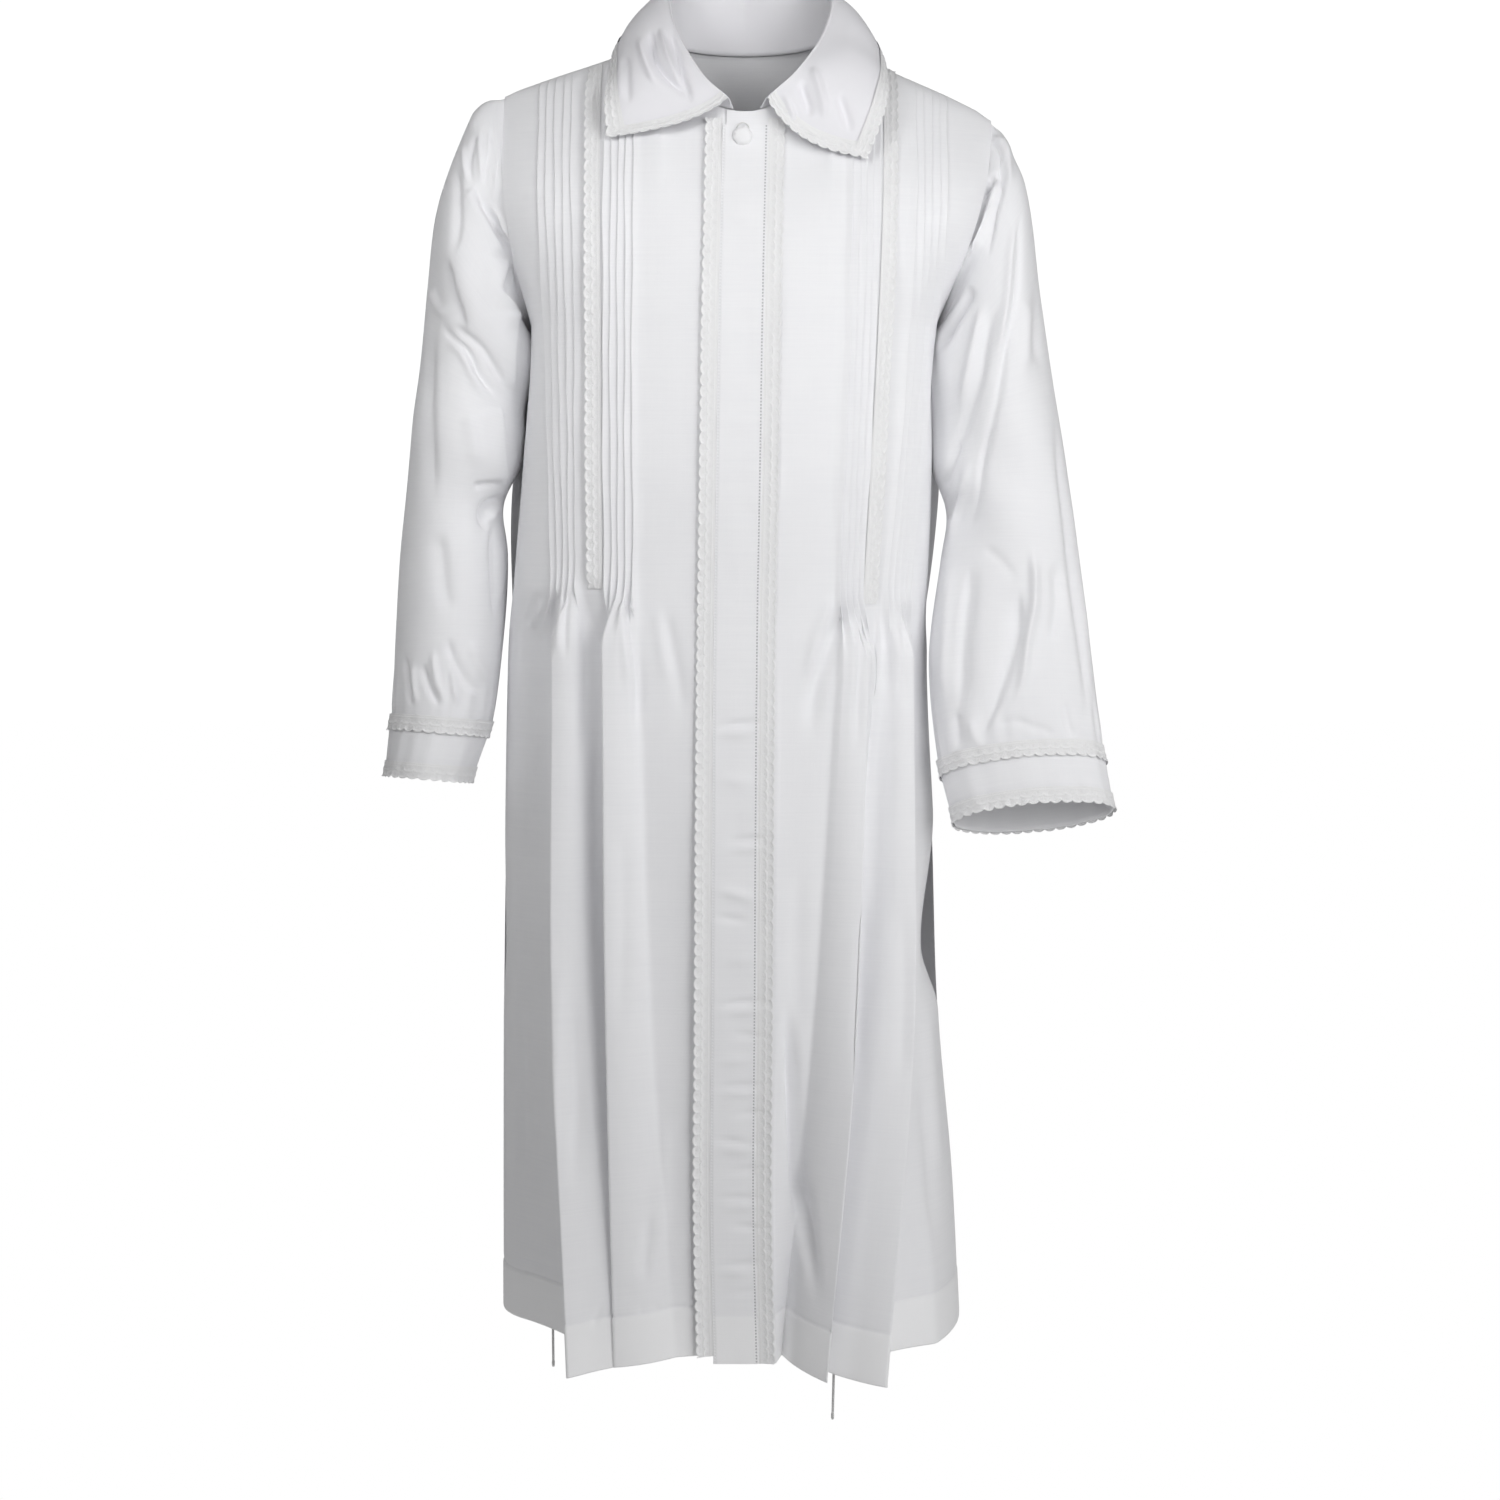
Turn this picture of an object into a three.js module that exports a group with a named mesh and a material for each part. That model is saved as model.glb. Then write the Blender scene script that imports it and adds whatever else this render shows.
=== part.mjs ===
// Kittel: a white knee-length robe with tucked fronts, lace bands, a wide pointed collar and banded cuffs.
// It is worn on a general figure: hollow, open at neck, cuffs and hem. Millimetres, +Z up, +Y to the back.
// The origin is the middle of the neck opening. "Right" is the wearer's right, at -X.
import * as THREE from "three";

// ---- Cloth and seams ----
const clothWall = 2; // panels, sleeves, cuffs and collar
const hemWall = 3; // where the hem is turned up inside
const placketWall = 1.5;
const laceWall = 1.1;
const gap = 0.35; // between pieces that are sewn to each other
const hemDepth = 46; // height of the turned hem
const tuckRise = 1.5; // how far a tuck's free edge stands above the cloth
const tuckDrop = 1.1; // width of the step down beyond that edge
const tucksInBlock = 5;

// ---- Body sections, from the top down ----
// right, left: half-widths at the side seams; front, back: depths; middle: x of the front's middle line;
// square: exponent of the section's superellipse (2 is an ellipse).
const sections = [
  { z: 40, right: 224, left: 229, front: 82, back: 68, middle: 2, square: 2.3 },
  { z: -50, right: 222, left: 228, front: 96, back: 96, middle: 1, square: 2.3 },
  { z: -140, right: 212, left: 210, front: 125, back: 116, middle: -1, square: 2.8 },
  { z: -236, right: 199, left: 178, front: 139, back: 116, middle: -3, square: 2.8 },
  { z: -370, right: 208, left: 175, front: 142, back: 107, middle: -5, square: 2.8 },
  { z: -480, right: 218, left: 172, front: 134, back: 102, middle: -7, square: 2.7 },
  { z: -560, right: 224, left: 167, front: 136, back: 110, middle: -8, square: 2.5 },
  { z: -700, right: 228, left: 178, front: 143, back: 126, middle: -9, square: 2.5 },
  { z: -880, right: 232, left: 185, front: 149, back: 131, middle: -10, square: 2.4 },
  { z: -1040, right: 234, left: 200, front: 154, back: 135, middle: -11, square: 2.3 },
  { z: -1180, right: 235, left: 208, front: 157, back: 138, middle: -8, square: 2.3 },
];
const hem = { right: -1177, left: -1184 };

// ---- Neck, shoulders and armholes ----
const neck = { half: 76, sideY: 8, sideZ: 27, frontY: -95, frontZ: -52, backY: 66, backZ: 22 };
const shoulderPoint = { right: { x: 224, z: -26 }, left: { x: 230, z: -46 } };
const shoulderRound = { front: 150, back: 120 }; // height over which the cloth rolls off the shoulder
// underarm: its height; front, back: how far it reaches forwards and backwards; right, left: how late it turns in.
const armhole = { underarm: -238, front: 70, back: 66, right: 2.2, left: 1.6 };

// ---- Tucks and the lace strip between their two blocks: distance from the origin's middle plane ----
const tuckEnd = { right: -478, left: -492 };
const tuckRows = {
  right: [
    { z: -30, innerFrom: 93, innerTo: 126, lace: 137, outerFrom: 150, outerTo: 189 },
    { z: -221, innerFrom: 93, innerTo: 126, lace: 134, outerFrom: 145, outerTo: 182 },
    { z: -485, innerFrom: 94, innerTo: 126, lace: 134, outerFrom: 147, outerTo: 174 },
  ],
  left: [
    { z: -30, innerFrom: 92, innerTo: 123, lace: 133, outerFrom: 149, outerTo: 186 },
    { z: -221, innerFrom: 88, innerTo: 118, lace: 126, outerFrom: 143, outerTo: 176 },
    { z: -485, innerFrom: 80, innerTo: 106, lace: 113, outerFrom: 123, outerTo: 149 },
  ],
};
const laceWidth = 15.5;

// ---- Skirt folds below the tucks: plan positions (x outwards, y forwards) at three heights ----
// Each knife pleat has an edge that faces outwards and a valley behind it; the cloth returns under the edge.
// drop: how much lower the hem hangs there.
const foldHeights = [-560, -880, -1180];
const skirtFolds = {
  right: {
    plain: { x: [95, 84, 62], y: [129, 146, 160], drop: 0 },
    edge1: { x: [129, 126, 119], y: [138, 160, 174], drop: 5 },
    valley1: { x: [119, 108, 103], y: [112, 118, 140], drop: 2 },
    edge2: { x: [177, 176, 161], y: [116, 148, 190], drop: 10 },
    valley2: { x: [167, 160, 145], y: [88, 96, 130], drop: 0 },
    sidePanel: { x: [208, 212, 206], y: [50, 38, 52], drop: 0 },
  },
  left: {
    plain: { x: [82, 62, 34], y: [128, 140, 132], drop: 0 },
    edge1: { x: [112, 102, 75], y: [128, 162, 194], drop: 6 },
    valley1: { x: [118, 91, 62], y: [112, 124, 148], drop: 2 },
    edge2: { x: [154, 156, 129], y: [104, 138, 194], drop: 10 },
    valley2: { x: [150, 144, 115], y: [80, 98, 140], drop: 0 },
    sidePanel: { x: [163, 166, 178], y: [44, 54, 100], drop: 0 },
  },
};

// ---- Side slits: both side seams are unsewn between top and bottom. The front's edge falls away from
// the back's there: by all of forward and inwards on the left, by a small share on the right. ----
const slit = {
  top: -690, widest: -820, bottom: -885,
  forward: 26, inwards: 15, share: { right: 0.16, left: 1 },
};

// ---- Front closing ----
const placketHalf = 20.5;
const overlap = 17; // each front runs this far past the middle line
const underlapDepth = 4.2; // the right front lies this far behind the left one there
const button = { radius: 8.8, height: 5, x: -2, z: -76 };

// ---- Sleeves: rings from the armhole down to the end of the cuff ----
// outX/outZ and inX/inZ: outer and inner ends of the ring; depth: half-size front to back;
// y: its middle; tilt: degrees by which its front rises. The last two rings carry the cuff.
const sleeveRings = {
  right: [
    { outX: 249, outZ: -42, inX: 203, inZ: -242, depth: 68, y: 3, tilt: 0 },
    { outX: 272, outZ: -88, inX: 205, inZ: -249, depth: 73, y: 3, tilt: 0 },
    { outX: 288, outZ: -135, inX: 206, inZ: -260, depth: 75, y: 2, tilt: 0 },
    { outX: 297, outZ: -200, inX: 207, inZ: -282, depth: 75, y: 1, tilt: 0 },
    { outX: 305, outZ: -278, inX: 210, inZ: -318, depth: 74, y: 0, tilt: 0 },
    { outX: 313, outZ: -338, inX: 217, inZ: -362, depth: 72, y: -1, tilt: 0 },
    { outX: 319, outZ: -395, inX: 231, inZ: -402, depth: 69, y: -3, tilt: 2 },
    { outX: 325, outZ: -455, inX: 225, inZ: -450, depth: 69, y: -8, tilt: 4 },
    { outX: 329, outZ: -528, inX: 228, inZ: -525, depth: 66, y: -16, tilt: 5 },
    { outX: 332, outZ: -599, inX: 238, inZ: -606, depth: 61, y: -26, tilt: 6 },
    { outX: 338, outZ: -658, inX: 259, inZ: -664, depth: 59, y: -32, tilt: 6 },
  ],
  left: [
    { outX: 246, outZ: -72, inX: 182, inZ: -242, depth: 66, y: -1, tilt: 0 },
    { outX: 257, outZ: -102, inX: 183, inZ: -249, depth: 72, y: -3, tilt: 0 },
    { outX: 267, outZ: -143, inX: 183, inZ: -260, depth: 75, y: -6, tilt: 0 },
    { outX: 275, outZ: -205, inX: 183, inZ: -284, depth: 75, y: -10, tilt: 0 },
    { outX: 287, outZ: -285, inX: 182, inZ: -322, depth: 73, y: -15, tilt: 2 },
    { outX: 298, outZ: -352, inX: 182, inZ: -366, depth: 70, y: -20, tilt: 5 },
    { outX: 306, outZ: -412, inX: 190, inZ: -410, depth: 65, y: -27, tilt: 9 },
    { outX: 312, outZ: -460, inX: 184, inZ: -458, depth: 58, y: -36, tilt: 13 },
    { outX: 322, outZ: -545, inX: 172, inZ: -548, depth: 49, y: -53, tilt: 18 },
    { outX: 331, outZ: -627, inX: 179, inZ: -640, depth: 40, y: -68, tilt: 25 },
    { outX: 341, outZ: -686, inX: 194, inZ: -698, depth: 34, y: -80, tilt: 30 },
  ],
};

// Largest folds of the sleeves: lines between two places (ring, turn round the sleeve from its outer side
// by the front), with half their width in rings and how far the cloth rises there.
const sleeveFolds = {
  right: [
    { from: [1.2, 0.23], to: [0.9, 0.44], width: 0.6, rise: -9 },
    { from: [1.3, 0.09], to: [3.2, 0.2], width: 0.7, rise: 5 },
    { from: [4.2, 0.13], to: [4.9, 0.48], width: 0.6, rise: -7 },
    { from: [5.6, 0.12], to: [6.4, 0.4], width: 0.6, rise: 4 },
    { from: [2.2, 0.62], to: [1.4, 0.8], width: 0.7, rise: -8 },
    { from: [4.6, 0.6], to: [4.1, 0.86], width: 0.7, rise: -6 },
    { from: [7.4, 0.58], to: [6.6, 0.84], width: 0.7, rise: -5 },
  ],
  left: [
    { from: [1, 0.12], to: [1.2, 0.4], width: 0.6, rise: -8 },
    { from: [2, 0.1], to: [4.5, 0.22], width: 0.7, rise: 5 },
    { from: [5.2, 0.42], to: [6.8, 0.2], width: 0.6, rise: -5 },
    { from: [7.2, 0.4], to: [9, 0.24], width: 0.6, rise: -4 },
    { from: [2, 0.62], to: [1.3, 0.82], width: 0.7, rise: -8 },
    { from: [4.8, 0.6], to: [4.2, 0.84], width: 0.7, rise: -6 },
    { from: [7, 0.58], to: [6.3, 0.82], width: 0.7, rise: -5 },
  ],
};
const turnLength = 9; // of one turn round the sleeve, in the steps between rings

// ---- Collar: stations from the middle of the front (0) round the side to the middle of the back (1) ----
// roll: crest over the stand; edge: outer edge, which starts at the collar's point.
const collarStations = {
  right: [
    { at: 0, roll: [-14, -102, -42], edge: [-124, -101, -76] },
    { at: 0.2, roll: [-38, -88, -18], edge: [-126, -96, -45] },
    { at: 0.44, roll: [-63, -44, 32], edge: [-122, -55, -12] },
    { at: 0.66, roll: [-67, 6, 76], edge: [-117, 12, 20] },
    { at: 0.84, roll: [-46, 54, 83], edge: [-88, 72, 6] },
    { at: 1, roll: [0, 70, 85], edge: [0, 100, 2] },
  ],
  left: [
    { at: 0, roll: [19, -102, -42], edge: [110, -118, -97] },
    { at: 0.2, roll: [47, -88, -15], edge: [126, -103, -50] },
    { at: 0.44, roll: [72, -46, 27], edge: [129, -58, -14] },
    { at: 0.66, roll: [79, 4, 70], edge: [121, 10, 17] },
    { at: 0.84, roll: [54, 54, 82], edge: [90, 72, 5] },
    { at: 1, roll: [0, 70, 85], edge: [0, 100, 2] },
  ],
};
const collarStart = { right: 10, left: 14 }; // distance of the neck seam's ends from the middle plane
const collarSide = 0.66; // station of the shoulder seam
const collarWall = 1.6;
const collarBulge = 9; // how far the fall swells between crest and edge
const collarSag = { right: 9, left: 17 }; // dip of the front edges between the middle and the point
const collarRows = [0, 0.2, 0.45, 0.66, 0.83, 1]; // crest to edge; the last step is the lace's width
const collarColumns = 11; // on each side

// ---- Tie cords, sewn inside the fronts at the waist and hanging below the hem ----
const cordRadius = 1.3;
const cords = {
  right: { x: -184, y: -53, end: -1222, sway: 1 },
  left: { x: 88, y: -108, end: -1254, sway: -6 },
};

// ---- Small mathematics ----
const signs = { right: -1, left: 1 };
const mix = (a, b, t) => a + (b - a) * t;
const clamp = (v, low, high) => Math.min(high, Math.max(low, v));
const ease = (t) => clamp(t, 0, 1) ** 2 * (3 - 2 * clamp(t, 0, 1));

// Smooth curve through values[i] at places[i], which rise or fall steadily.
function curve(places, values, at) {
  const rising = places[places.length - 1] > places[0];
  const before = (a, b) => (rising ? a < b : a > b);
  const last = places.length - 1;
  if (!before(places[0], at)) return values[0];
  if (!before(at, places[last])) return values[last];
  let i = 0;
  while (before(places[i + 1], at)) i += 1;
  const span = places[i + 1] - places[i];
  const slope = (k) => {
    const a = Math.max(0, k - 1);
    const b = Math.min(last, k + 1);
    return (values[b] - values[a]) / (places[b] - places[a]);
  };
  const t = (at - places[i]) / span;
  const rise = values[i + 1] - values[i];
  const m0 = slope(i) * span;
  const m1 = slope(i + 1) * span;
  return values[i] + t * (m0 + t * (3 * rise - 2 * m0 - m1 + t * (m0 + m1 - 2 * rise)));
}
const column = (table, name, at, key = "z") =>
  curve(table.map((row) => row[key]), table.map((row) => row[name]), at);

// ---- Neckline and shoulder line: the top edge of the panels above a point x outwards ----
function topEdge(side, face, x) {
  const front = face === "front";
  if (x < neck.half) {
    const round = Math.sqrt(1 - (x / neck.half) ** 2);
    const endY = front ? neck.frontY : neck.backY;
    const endZ = front ? neck.frontZ : neck.backZ;
    return { y: mix(neck.sideY, endY, round), z: mix(neck.sideZ, endZ, round ** 1.3) };
  }
  const tip = shoulderPoint[side];
  const t = (x - neck.half) / (tip.x - neck.half);
  return { y: mix(neck.sideY, neck.sideY - 3, t), z: mix(neck.sideZ, tip.z, t) };
}

// Side edge of the panels at a height: the armhole above the underarm, the side seam below it.
function sideEdge(side, face, z) {
  const tip = shoulderPoint[side];
  if (z <= armhole.underarm) return { x: column(sections, side, z), y: 0 };
  const t = clamp((tip.z - z) / (tip.z - armhole.underarm), 0, 1);
  const under = column(sections, side, armhole.underarm);
  return { x: mix(tip.x, under, t ** armhole[side]), y: armhole[face] * Math.sin(Math.PI * t) ** 0.8 };
}

// ---- Torso surface ----
// Section of one quarter of the body at a height: widest x and depth of its superellipse round the middle.
function quarter(side, face, z) {
  const square = column(sections, "square", z);
  const middle = signs[side] * column(sections, "middle", z);
  const depth = column(sections, face, z);
  const edge = sideEdge(side, face, z);
  const share = clamp(edge.y / depth, 0, 0.95);
  const width = (edge.x - middle) / (1 - share ** square) ** (1 / square);
  return { square, middle, depth, width, edge };
}
const depthAt = (q, x) =>
  q.depth * Math.max(0, 1 - clamp((x - q.middle) / q.width, 0, 1) ** q.square) ** (1 / q.square);

// The cloth rolls off the shoulder line: depth y of a panel grows from its top edge downwards.
function rolled(side, face, x, z, depth) {
  const top = topEdge(side, face, Math.abs(x));
  const t = clamp((top.z - z) / shoulderRound[face], 0, 1);
  const y = face === "front" ? -depth : depth;
  return mix(top.y, y, Math.sqrt(1 - (1 - t) ** 2));
}

// Point of a panel of the torso, x outwards from the origin's middle plane.
function torsoPoint(side, face, x, z) {
  const q = quarter(side, face, z);
  return { x, y: rolled(side, face, x, z, depthAt(q, x)) };
}

// Point between x = from and the panel's side edge, at a share of the way round.
function torsoSide(side, face, from, share, z) {
  const q = quarter(side, face, z);
  const e = q.square / 2;
  const start = Math.asin(clamp((from - q.middle) / q.width, 0, 1) ** e);
  const end = Math.acos(clamp(q.edge.y / q.depth, 0, 1) ** e);
  const angle = mix(start, end, share);
  const x = q.middle + q.width * Math.sin(angle) ** (1 / e);
  const depth = q.depth * Math.max(0, Math.cos(angle)) ** (1 / e);
  return { x, y: rolled(side, face, x, z, depth) };
}

// ---- Front panels ----
// A front is a row of stations from its middle edge to its side edge. Above the waist the stations stand
// on the tucks, and below it the cloth that the tucks let go makes the knife pleats.
const plainStations = 2;
const blockStations = 2 * tucksInBlock;
const sideStations = 4;
// Stations near the middle line, from the overlapping edge outwards to the outer edge of the lace.
const middleStations = [-overlap, overlap + 0.6, placketHalf + 0.3, placketHalf + laceWidth + 0.7];
const centreStations = middleStations.length;
const frontStations = centreStations + plainStations + blockStations + 1 + blockStations + sideStations;

function tuckedStation(side, index, z) {
  const rows = tuckRows[side];
  const innerFrom = column(rows, "innerFrom", z);
  const outerFrom = column(rows, "outerFrom", z);
  const outerTo = column(rows, "outerTo", z);
  const middle = signs[side] * column(sections, "middle", z);
  let k = index;
  if (k < centreStations) return { x: middle + middleStations[k], rise: 0 };
  k -= centreStations;
  if (k < plainStations) {
    const from = middle + middleStations[centreStations - 1];
    return { x: mix(from, innerFrom, (k + 1) / (plainStations + 0.4)), rise: 0 };
  }
  k -= plainStations;
  const tuck = (from, to) => {
    const pitch = (to - from) / tucksInBlock;
    const edge = from + pitch * (Math.floor(k / 2) + 1);
    return k % 2 ? { x: edge + tuckDrop, rise: 0 } : { x: edge, rise: tuckRise };
  };
  if (k < blockStations) return tuck(innerFrom, column(rows, "innerTo", z));
  k -= blockStations;
  if (k === 0) return { x: column(rows, "lace", z) + laceWidth / 2, rise: 0 };
  k -= 1;
  if (k < blockStations) return tuck(outerFrom, outerTo);
  k -= blockStations;
  return { from: outerTo + tuckDrop, share: (k + 1) / sideStations, rise: 0 };
}

// Stations of the skirt: shares of the way between one fold and the next.
const foldNames = ["start", "plain", "edge1", "valley1", "edge2", "valley2", "sidePanel", "seam"];
const foldShares = [
  ...[0.5, 1].map((s) => ["start", s]),
  ...[0.12, 0.25, 0.38, 0.5, 0.62, 0.74, 0.87, 1].map((s) => ["plain", s]),
  ...[0.5, 1].map((s) => ["edge1", s]),
  ...[0.14, 0.3, 0.45, 0.6, 0.73, 0.86, 1].map((s) => ["valley1", s]),
  ...[0.5, 1].map((s) => ["edge2", s]),
  ...[0.3, 0.7].map((s) => ["valley2", s]),
  ["sidePanel", 0],
  ...[0.35, 0.7, 1].map((s) => ["sidePanel", s]),
];
const foldSwell = { start: 0, plain: 4, edge1: 0, valley1: 7, edge2: 0, valley2: -3, sidePanel: 6 };

// How far the side slit stands open at a height, from 0 to 1.
function slitOpen(side, z) {
  const end = z > slit.widest ? slit.top : slit.bottom;
  return slit.share[side] * ease((end - z) / (end - slit.widest));
}

function foldPlace(side, name, z) {
  const q = quarter(side, "front", z);
  if (name === "start") {
    const x = q.middle + middleStations[centreStations - 1];
    return [x, depthAt(q, x)];
  }
  if (name === "seam") {
    const open = slitOpen(side, z);
    return [q.edge.x - slit.inwards * open, slit.forward * open];
  }
  const row = skirtFolds[side][name];
  return [curve(foldHeights, row.x, z), curve(foldHeights, row.y, z)];
}

function pleatedStation(side, index, z) {
  const [name, share] = foldShares[index - centreStations];
  const from = foldPlace(side, name, z);
  const to = foldPlace(side, foldNames[foldNames.indexOf(name) + 1], z);
  const flat = name === "sidePanel" ? slitOpen(side, z) : 0;
  const swell = foldSwell[name] * 4 * share * (1 - share) * (1 - flat);
  const length = Math.hypot(to[0] - from[0], to[1] - from[1]);
  const out = [from[1] - to[1], to[0] - from[0]].map((v) => (v / length) * swell);
  return [mix(from[0], to[0], share) + out[0], mix(from[1], to[1], share) + out[1]];
}

// How much lower the hem hangs at a station.
function hemDrop(side, index) {
  if (index < centreStations) return 0;
  const [name, share] = foldShares[index - centreStations];
  const drop = (fold) => skirtFolds[side][fold]?.drop ?? 0;
  return mix(drop(name), drop(foldNames[foldNames.indexOf(name) + 1]), share);
}

// Plan position of a station at a height, in the frame of its own side (x outwards, y to the back).
function frontStation(side, index, z) {
  const down = ease((tuckEnd[side] + 4 - z) / 70);
  let upper = null;
  if (down < 1) {
    const s = tuckedStation(side, index, z);
    upper = s.from === undefined
      ? torsoPoint(side, "front", s.x, z)
      : torsoSide(side, "front", s.from, s.share, z);
    const above = ease((topEdge(side, "front", Math.abs(upper.x)).z - z) / 12);
    upper.y -= s.rise * above;
  }
  if (index < centreStations || down === 0) {
    return upper ?? torsoPoint(side, "front", tuckedStation(side, index, z).x, z);
  }
  const [x, y] = pleatedStation(side, index, z);
  return upper ? { x: mix(upper.x, x, down), y: mix(upper.y, -y, down) } : { x, y: -y };
}

// Heights of a panel's rows: they follow its top edge at first and are level lower down.
const rowHeights = {
  top: [0, 4, 15, 34, 62, 98, 138], // distances below the top edge
  // Heights:
  level: [-210, armhole.underarm, -350, tuckEnd, -552, -620, slit.top, slit.widest, slit.bottom, -1040],
};
const panelRows = rowHeights.top.length + rowHeights.level.length + 2;
const waistRow = rowHeights.top.length + rowHeights.level.indexOf(tuckEnd);

function rowHeight(side, row, topZ) {
  const tops = rowHeights.top.length;
  const levels = rowHeights.level.length;
  if (row < tops) {
    const meanTop = -18;
    const follow = 1 - ease(row / tops);
    return mix(meanTop, topZ, follow) - rowHeights.top[row];
  }
  if (row < tops + levels) return rowHeights.level[row - tops][side] ?? rowHeights.level[row - tops];
  return hem[side] + (row === tops + levels ? hemDepth : 0);
}

// Top edge height over a station, found from where the station meets that edge.
function stationTop(face, side, place) {
  let z = 0;
  for (let i = 0; i < 4; i += 1) z = topEdge(side, face, Math.abs(place(z).x)).z;
  return z;
}

// Half of the gap between front and back at the shoulder seam.
const seamRoom = (row) => [0.5, 2][row] * gap || 0;

function frontPoint(side, index, row) {
  const top = stationTop("front", side, (z) => frontStation(side, index, z));
  const z = rowHeight(side, row, top);
  const p = frontStation(side, index, z);
  const under = side === "right" && index < 2;
  const y = p.y + (under ? underlapDepth : 0);
  const seam = index === frontStations - 1 && z <= armhole.underarm;
  const low = z - hemDrop(side, index) * ease((-860 - z) / 320);
  return new THREE.Vector3(signs[side] * p.x, seam ? y - gap / 2 : y - seamRoom(row), low);
}

// ---- Back panel ----
const backHalf = 10; // stations from the middle of the back to a side
const backFolds = [
  { x: -150, width: 20, depth: 15 },
  { x: -88, width: 26, depth: 12 },
  { x: -22, width: 22, depth: 9 },
  { x: 52, width: 26, depth: 12 },
  { x: 118, width: 20, depth: 14 },
];

// Soft folds of the back's skirt: they start at the waist and deepen to the hem.
function backFold(x, z) {
  const grow = ease((-520 - z) / 640);
  const wave = backFolds.map((f) => f.depth * Math.exp(-(((x - f.x) / f.width) ** 2)));
  return grow * (wave.reduce((a, b) => a + b, 0) - 6);
}

function backStation(side, index, z) {
  const angle = index / backHalf;
  const middle = signs[side] * column(sections, "middle", z);
  const p = torsoSide(side, "back", middle, angle, z);
  const rest = z < armhole.underarm ? Math.sin(Math.PI * Math.min(1, (1 - angle) * 1.6) / 2) : 0;
  return { x: p.x, y: p.y + backFold(signs[side] * p.x, z) * rest };
}

function backPoint(index, row) {
  const side = index < backHalf ? "right" : "left";
  const step = Math.abs(index - backHalf);
  const top = stationTop("back", side, (z) => backStation(side, step, z));
  const z = rowHeight(side, row, top);
  const p = backStation(side, step, z);
  const seam = step === backHalf && z <= armhole.underarm;
  return new THREE.Vector3(signs[side] * p.x, seam ? gap / 2 : p.y + seamRoom(row), z);
}

// ---- Walls ----
// Normals of a grid of points, grid[i][j], pointing along the cross product of its two directions.
function gridNormals(grid, closed) {
  const rows = grid.length;
  const columns = grid[0].length;
  return grid.map((line, i) => line.map((_, j) => {
    const left = closed ? (j + columns - 1) % columns : Math.max(0, j - 1);
    const right = closed ? (j + 1) % columns : Math.min(columns - 1, j + 1);
    const across = new THREE.Vector3().subVectors(line[right], line[left]);
    const along = new THREE.Vector3()
      .subVectors(grid[Math.min(rows - 1, i + 1)][j], grid[Math.max(0, i - 1)][j]);
    return across.cross(along).normalize();
  }));
}

// A closed wall: the grid is its outer face, and the inner face lies the wall's thickness behind it.
// lift moves both faces out along the normals; fix may replace the normal at a seam.
function wallGeometry(grid, { wall = clothWall, lift = 0, closed = false, fix = null, flip = false } = {}) {
  const rows = grid.length;
  const columns = grid[0].length;
  const normals = gridNormals(grid, closed);
  const points = [];
  for (const face of [lift, null]) {
    for (let i = 0; i < rows; i += 1) {
      for (let j = 0; j < columns; j += 1) {
        const n = normals[i][j].multiplyScalar(flip && face !== null ? -1 : 1);
        const direction = (fix && fix(i, j, grid[i][j], n)) || n;
        const thickness = typeof wall === "function" ? wall(i, j) : wall;
        points.push(grid[i][j].clone().addScaledVector(direction, face ?? lift - thickness));
      }
    }
  }
  const at = (face, i, j) => (face * rows + i) * columns + (j % columns);
  const faces = [];
  const quad = (a, b, c, d) => (flip ? faces.push(a, c, b, a, d, c) : faces.push(a, b, c, a, c, d));
  const spans = closed ? columns : columns - 1;
  for (let i = 0; i + 1 < rows; i += 1) {
    for (let j = 0; j < spans; j += 1) {
      quad(at(0, i, j), at(0, i, j + 1), at(0, i + 1, j + 1), at(0, i + 1, j));
      quad(at(1, i, j), at(1, i + 1, j), at(1, i + 1, j + 1), at(1, i, j + 1));
    }
    if (!closed) {
      quad(at(0, i, 0), at(0, i + 1, 0), at(1, i + 1, 0), at(1, i, 0));
      quad(at(0, i + 1, spans), at(0, i, spans), at(1, i, spans), at(1, i + 1, spans));
    }
  }
  for (let j = 0; j < spans; j += 1) {
    quad(at(0, 0, j + 1), at(0, 0, j), at(1, 0, j), at(1, 0, j + 1));
    quad(at(0, rows - 1, j), at(0, rows - 1, j + 1), at(1, rows - 1, j + 1), at(1, rows - 1, j));
  }
  const geometry = new THREE.BufferGeometry().setFromPoints(points);
  geometry.setIndex(faces);
  geometry.computeVertexNormals();
  return geometry;
}
const gridOf = (rows, columns, point) =>
  Array.from({ length: rows }, (_, i) => Array.from({ length: columns }, (_, j) => point(i, j)));

// ---- Materials ----
const cloth = new THREE.MeshStandardMaterial({ color: 0xf1f1f4, roughness: 0.75, metalness: 0 });
const lace = new THREE.MeshStandardMaterial({ color: 0xf4f4f2, roughness: 0.85, metalness: 0 });
const covered = new THREE.MeshStandardMaterial({ color: 0xf3f3f3, roughness: 0.6, metalness: 0 });
const string = new THREE.MeshStandardMaterial({ color: 0xf0efec, roughness: 0.9, metalness: 0 });

const group = new THREE.Group();
function add(name, geometry, material) {
  const mesh = new THREE.Mesh(geometry, material);
  mesh.name = name;
  group.add(mesh);
  return mesh;
}

// ---- Panels ----
const turned = (i) => (i >= panelRows - 2 ? hemWall : clothWall);

// Direction of the wall along a panel's top edge: upwards at the shoulder seam, level at the neck.
function topNormal(row, p, normal) {
  if (row > 0) return null;
  if (Math.abs(p.x) > neck.half) return new THREE.Vector3(0, 0, 1);
  return new THREE.Vector3(normal.x, normal.y, 0).normalize();
}

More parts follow.
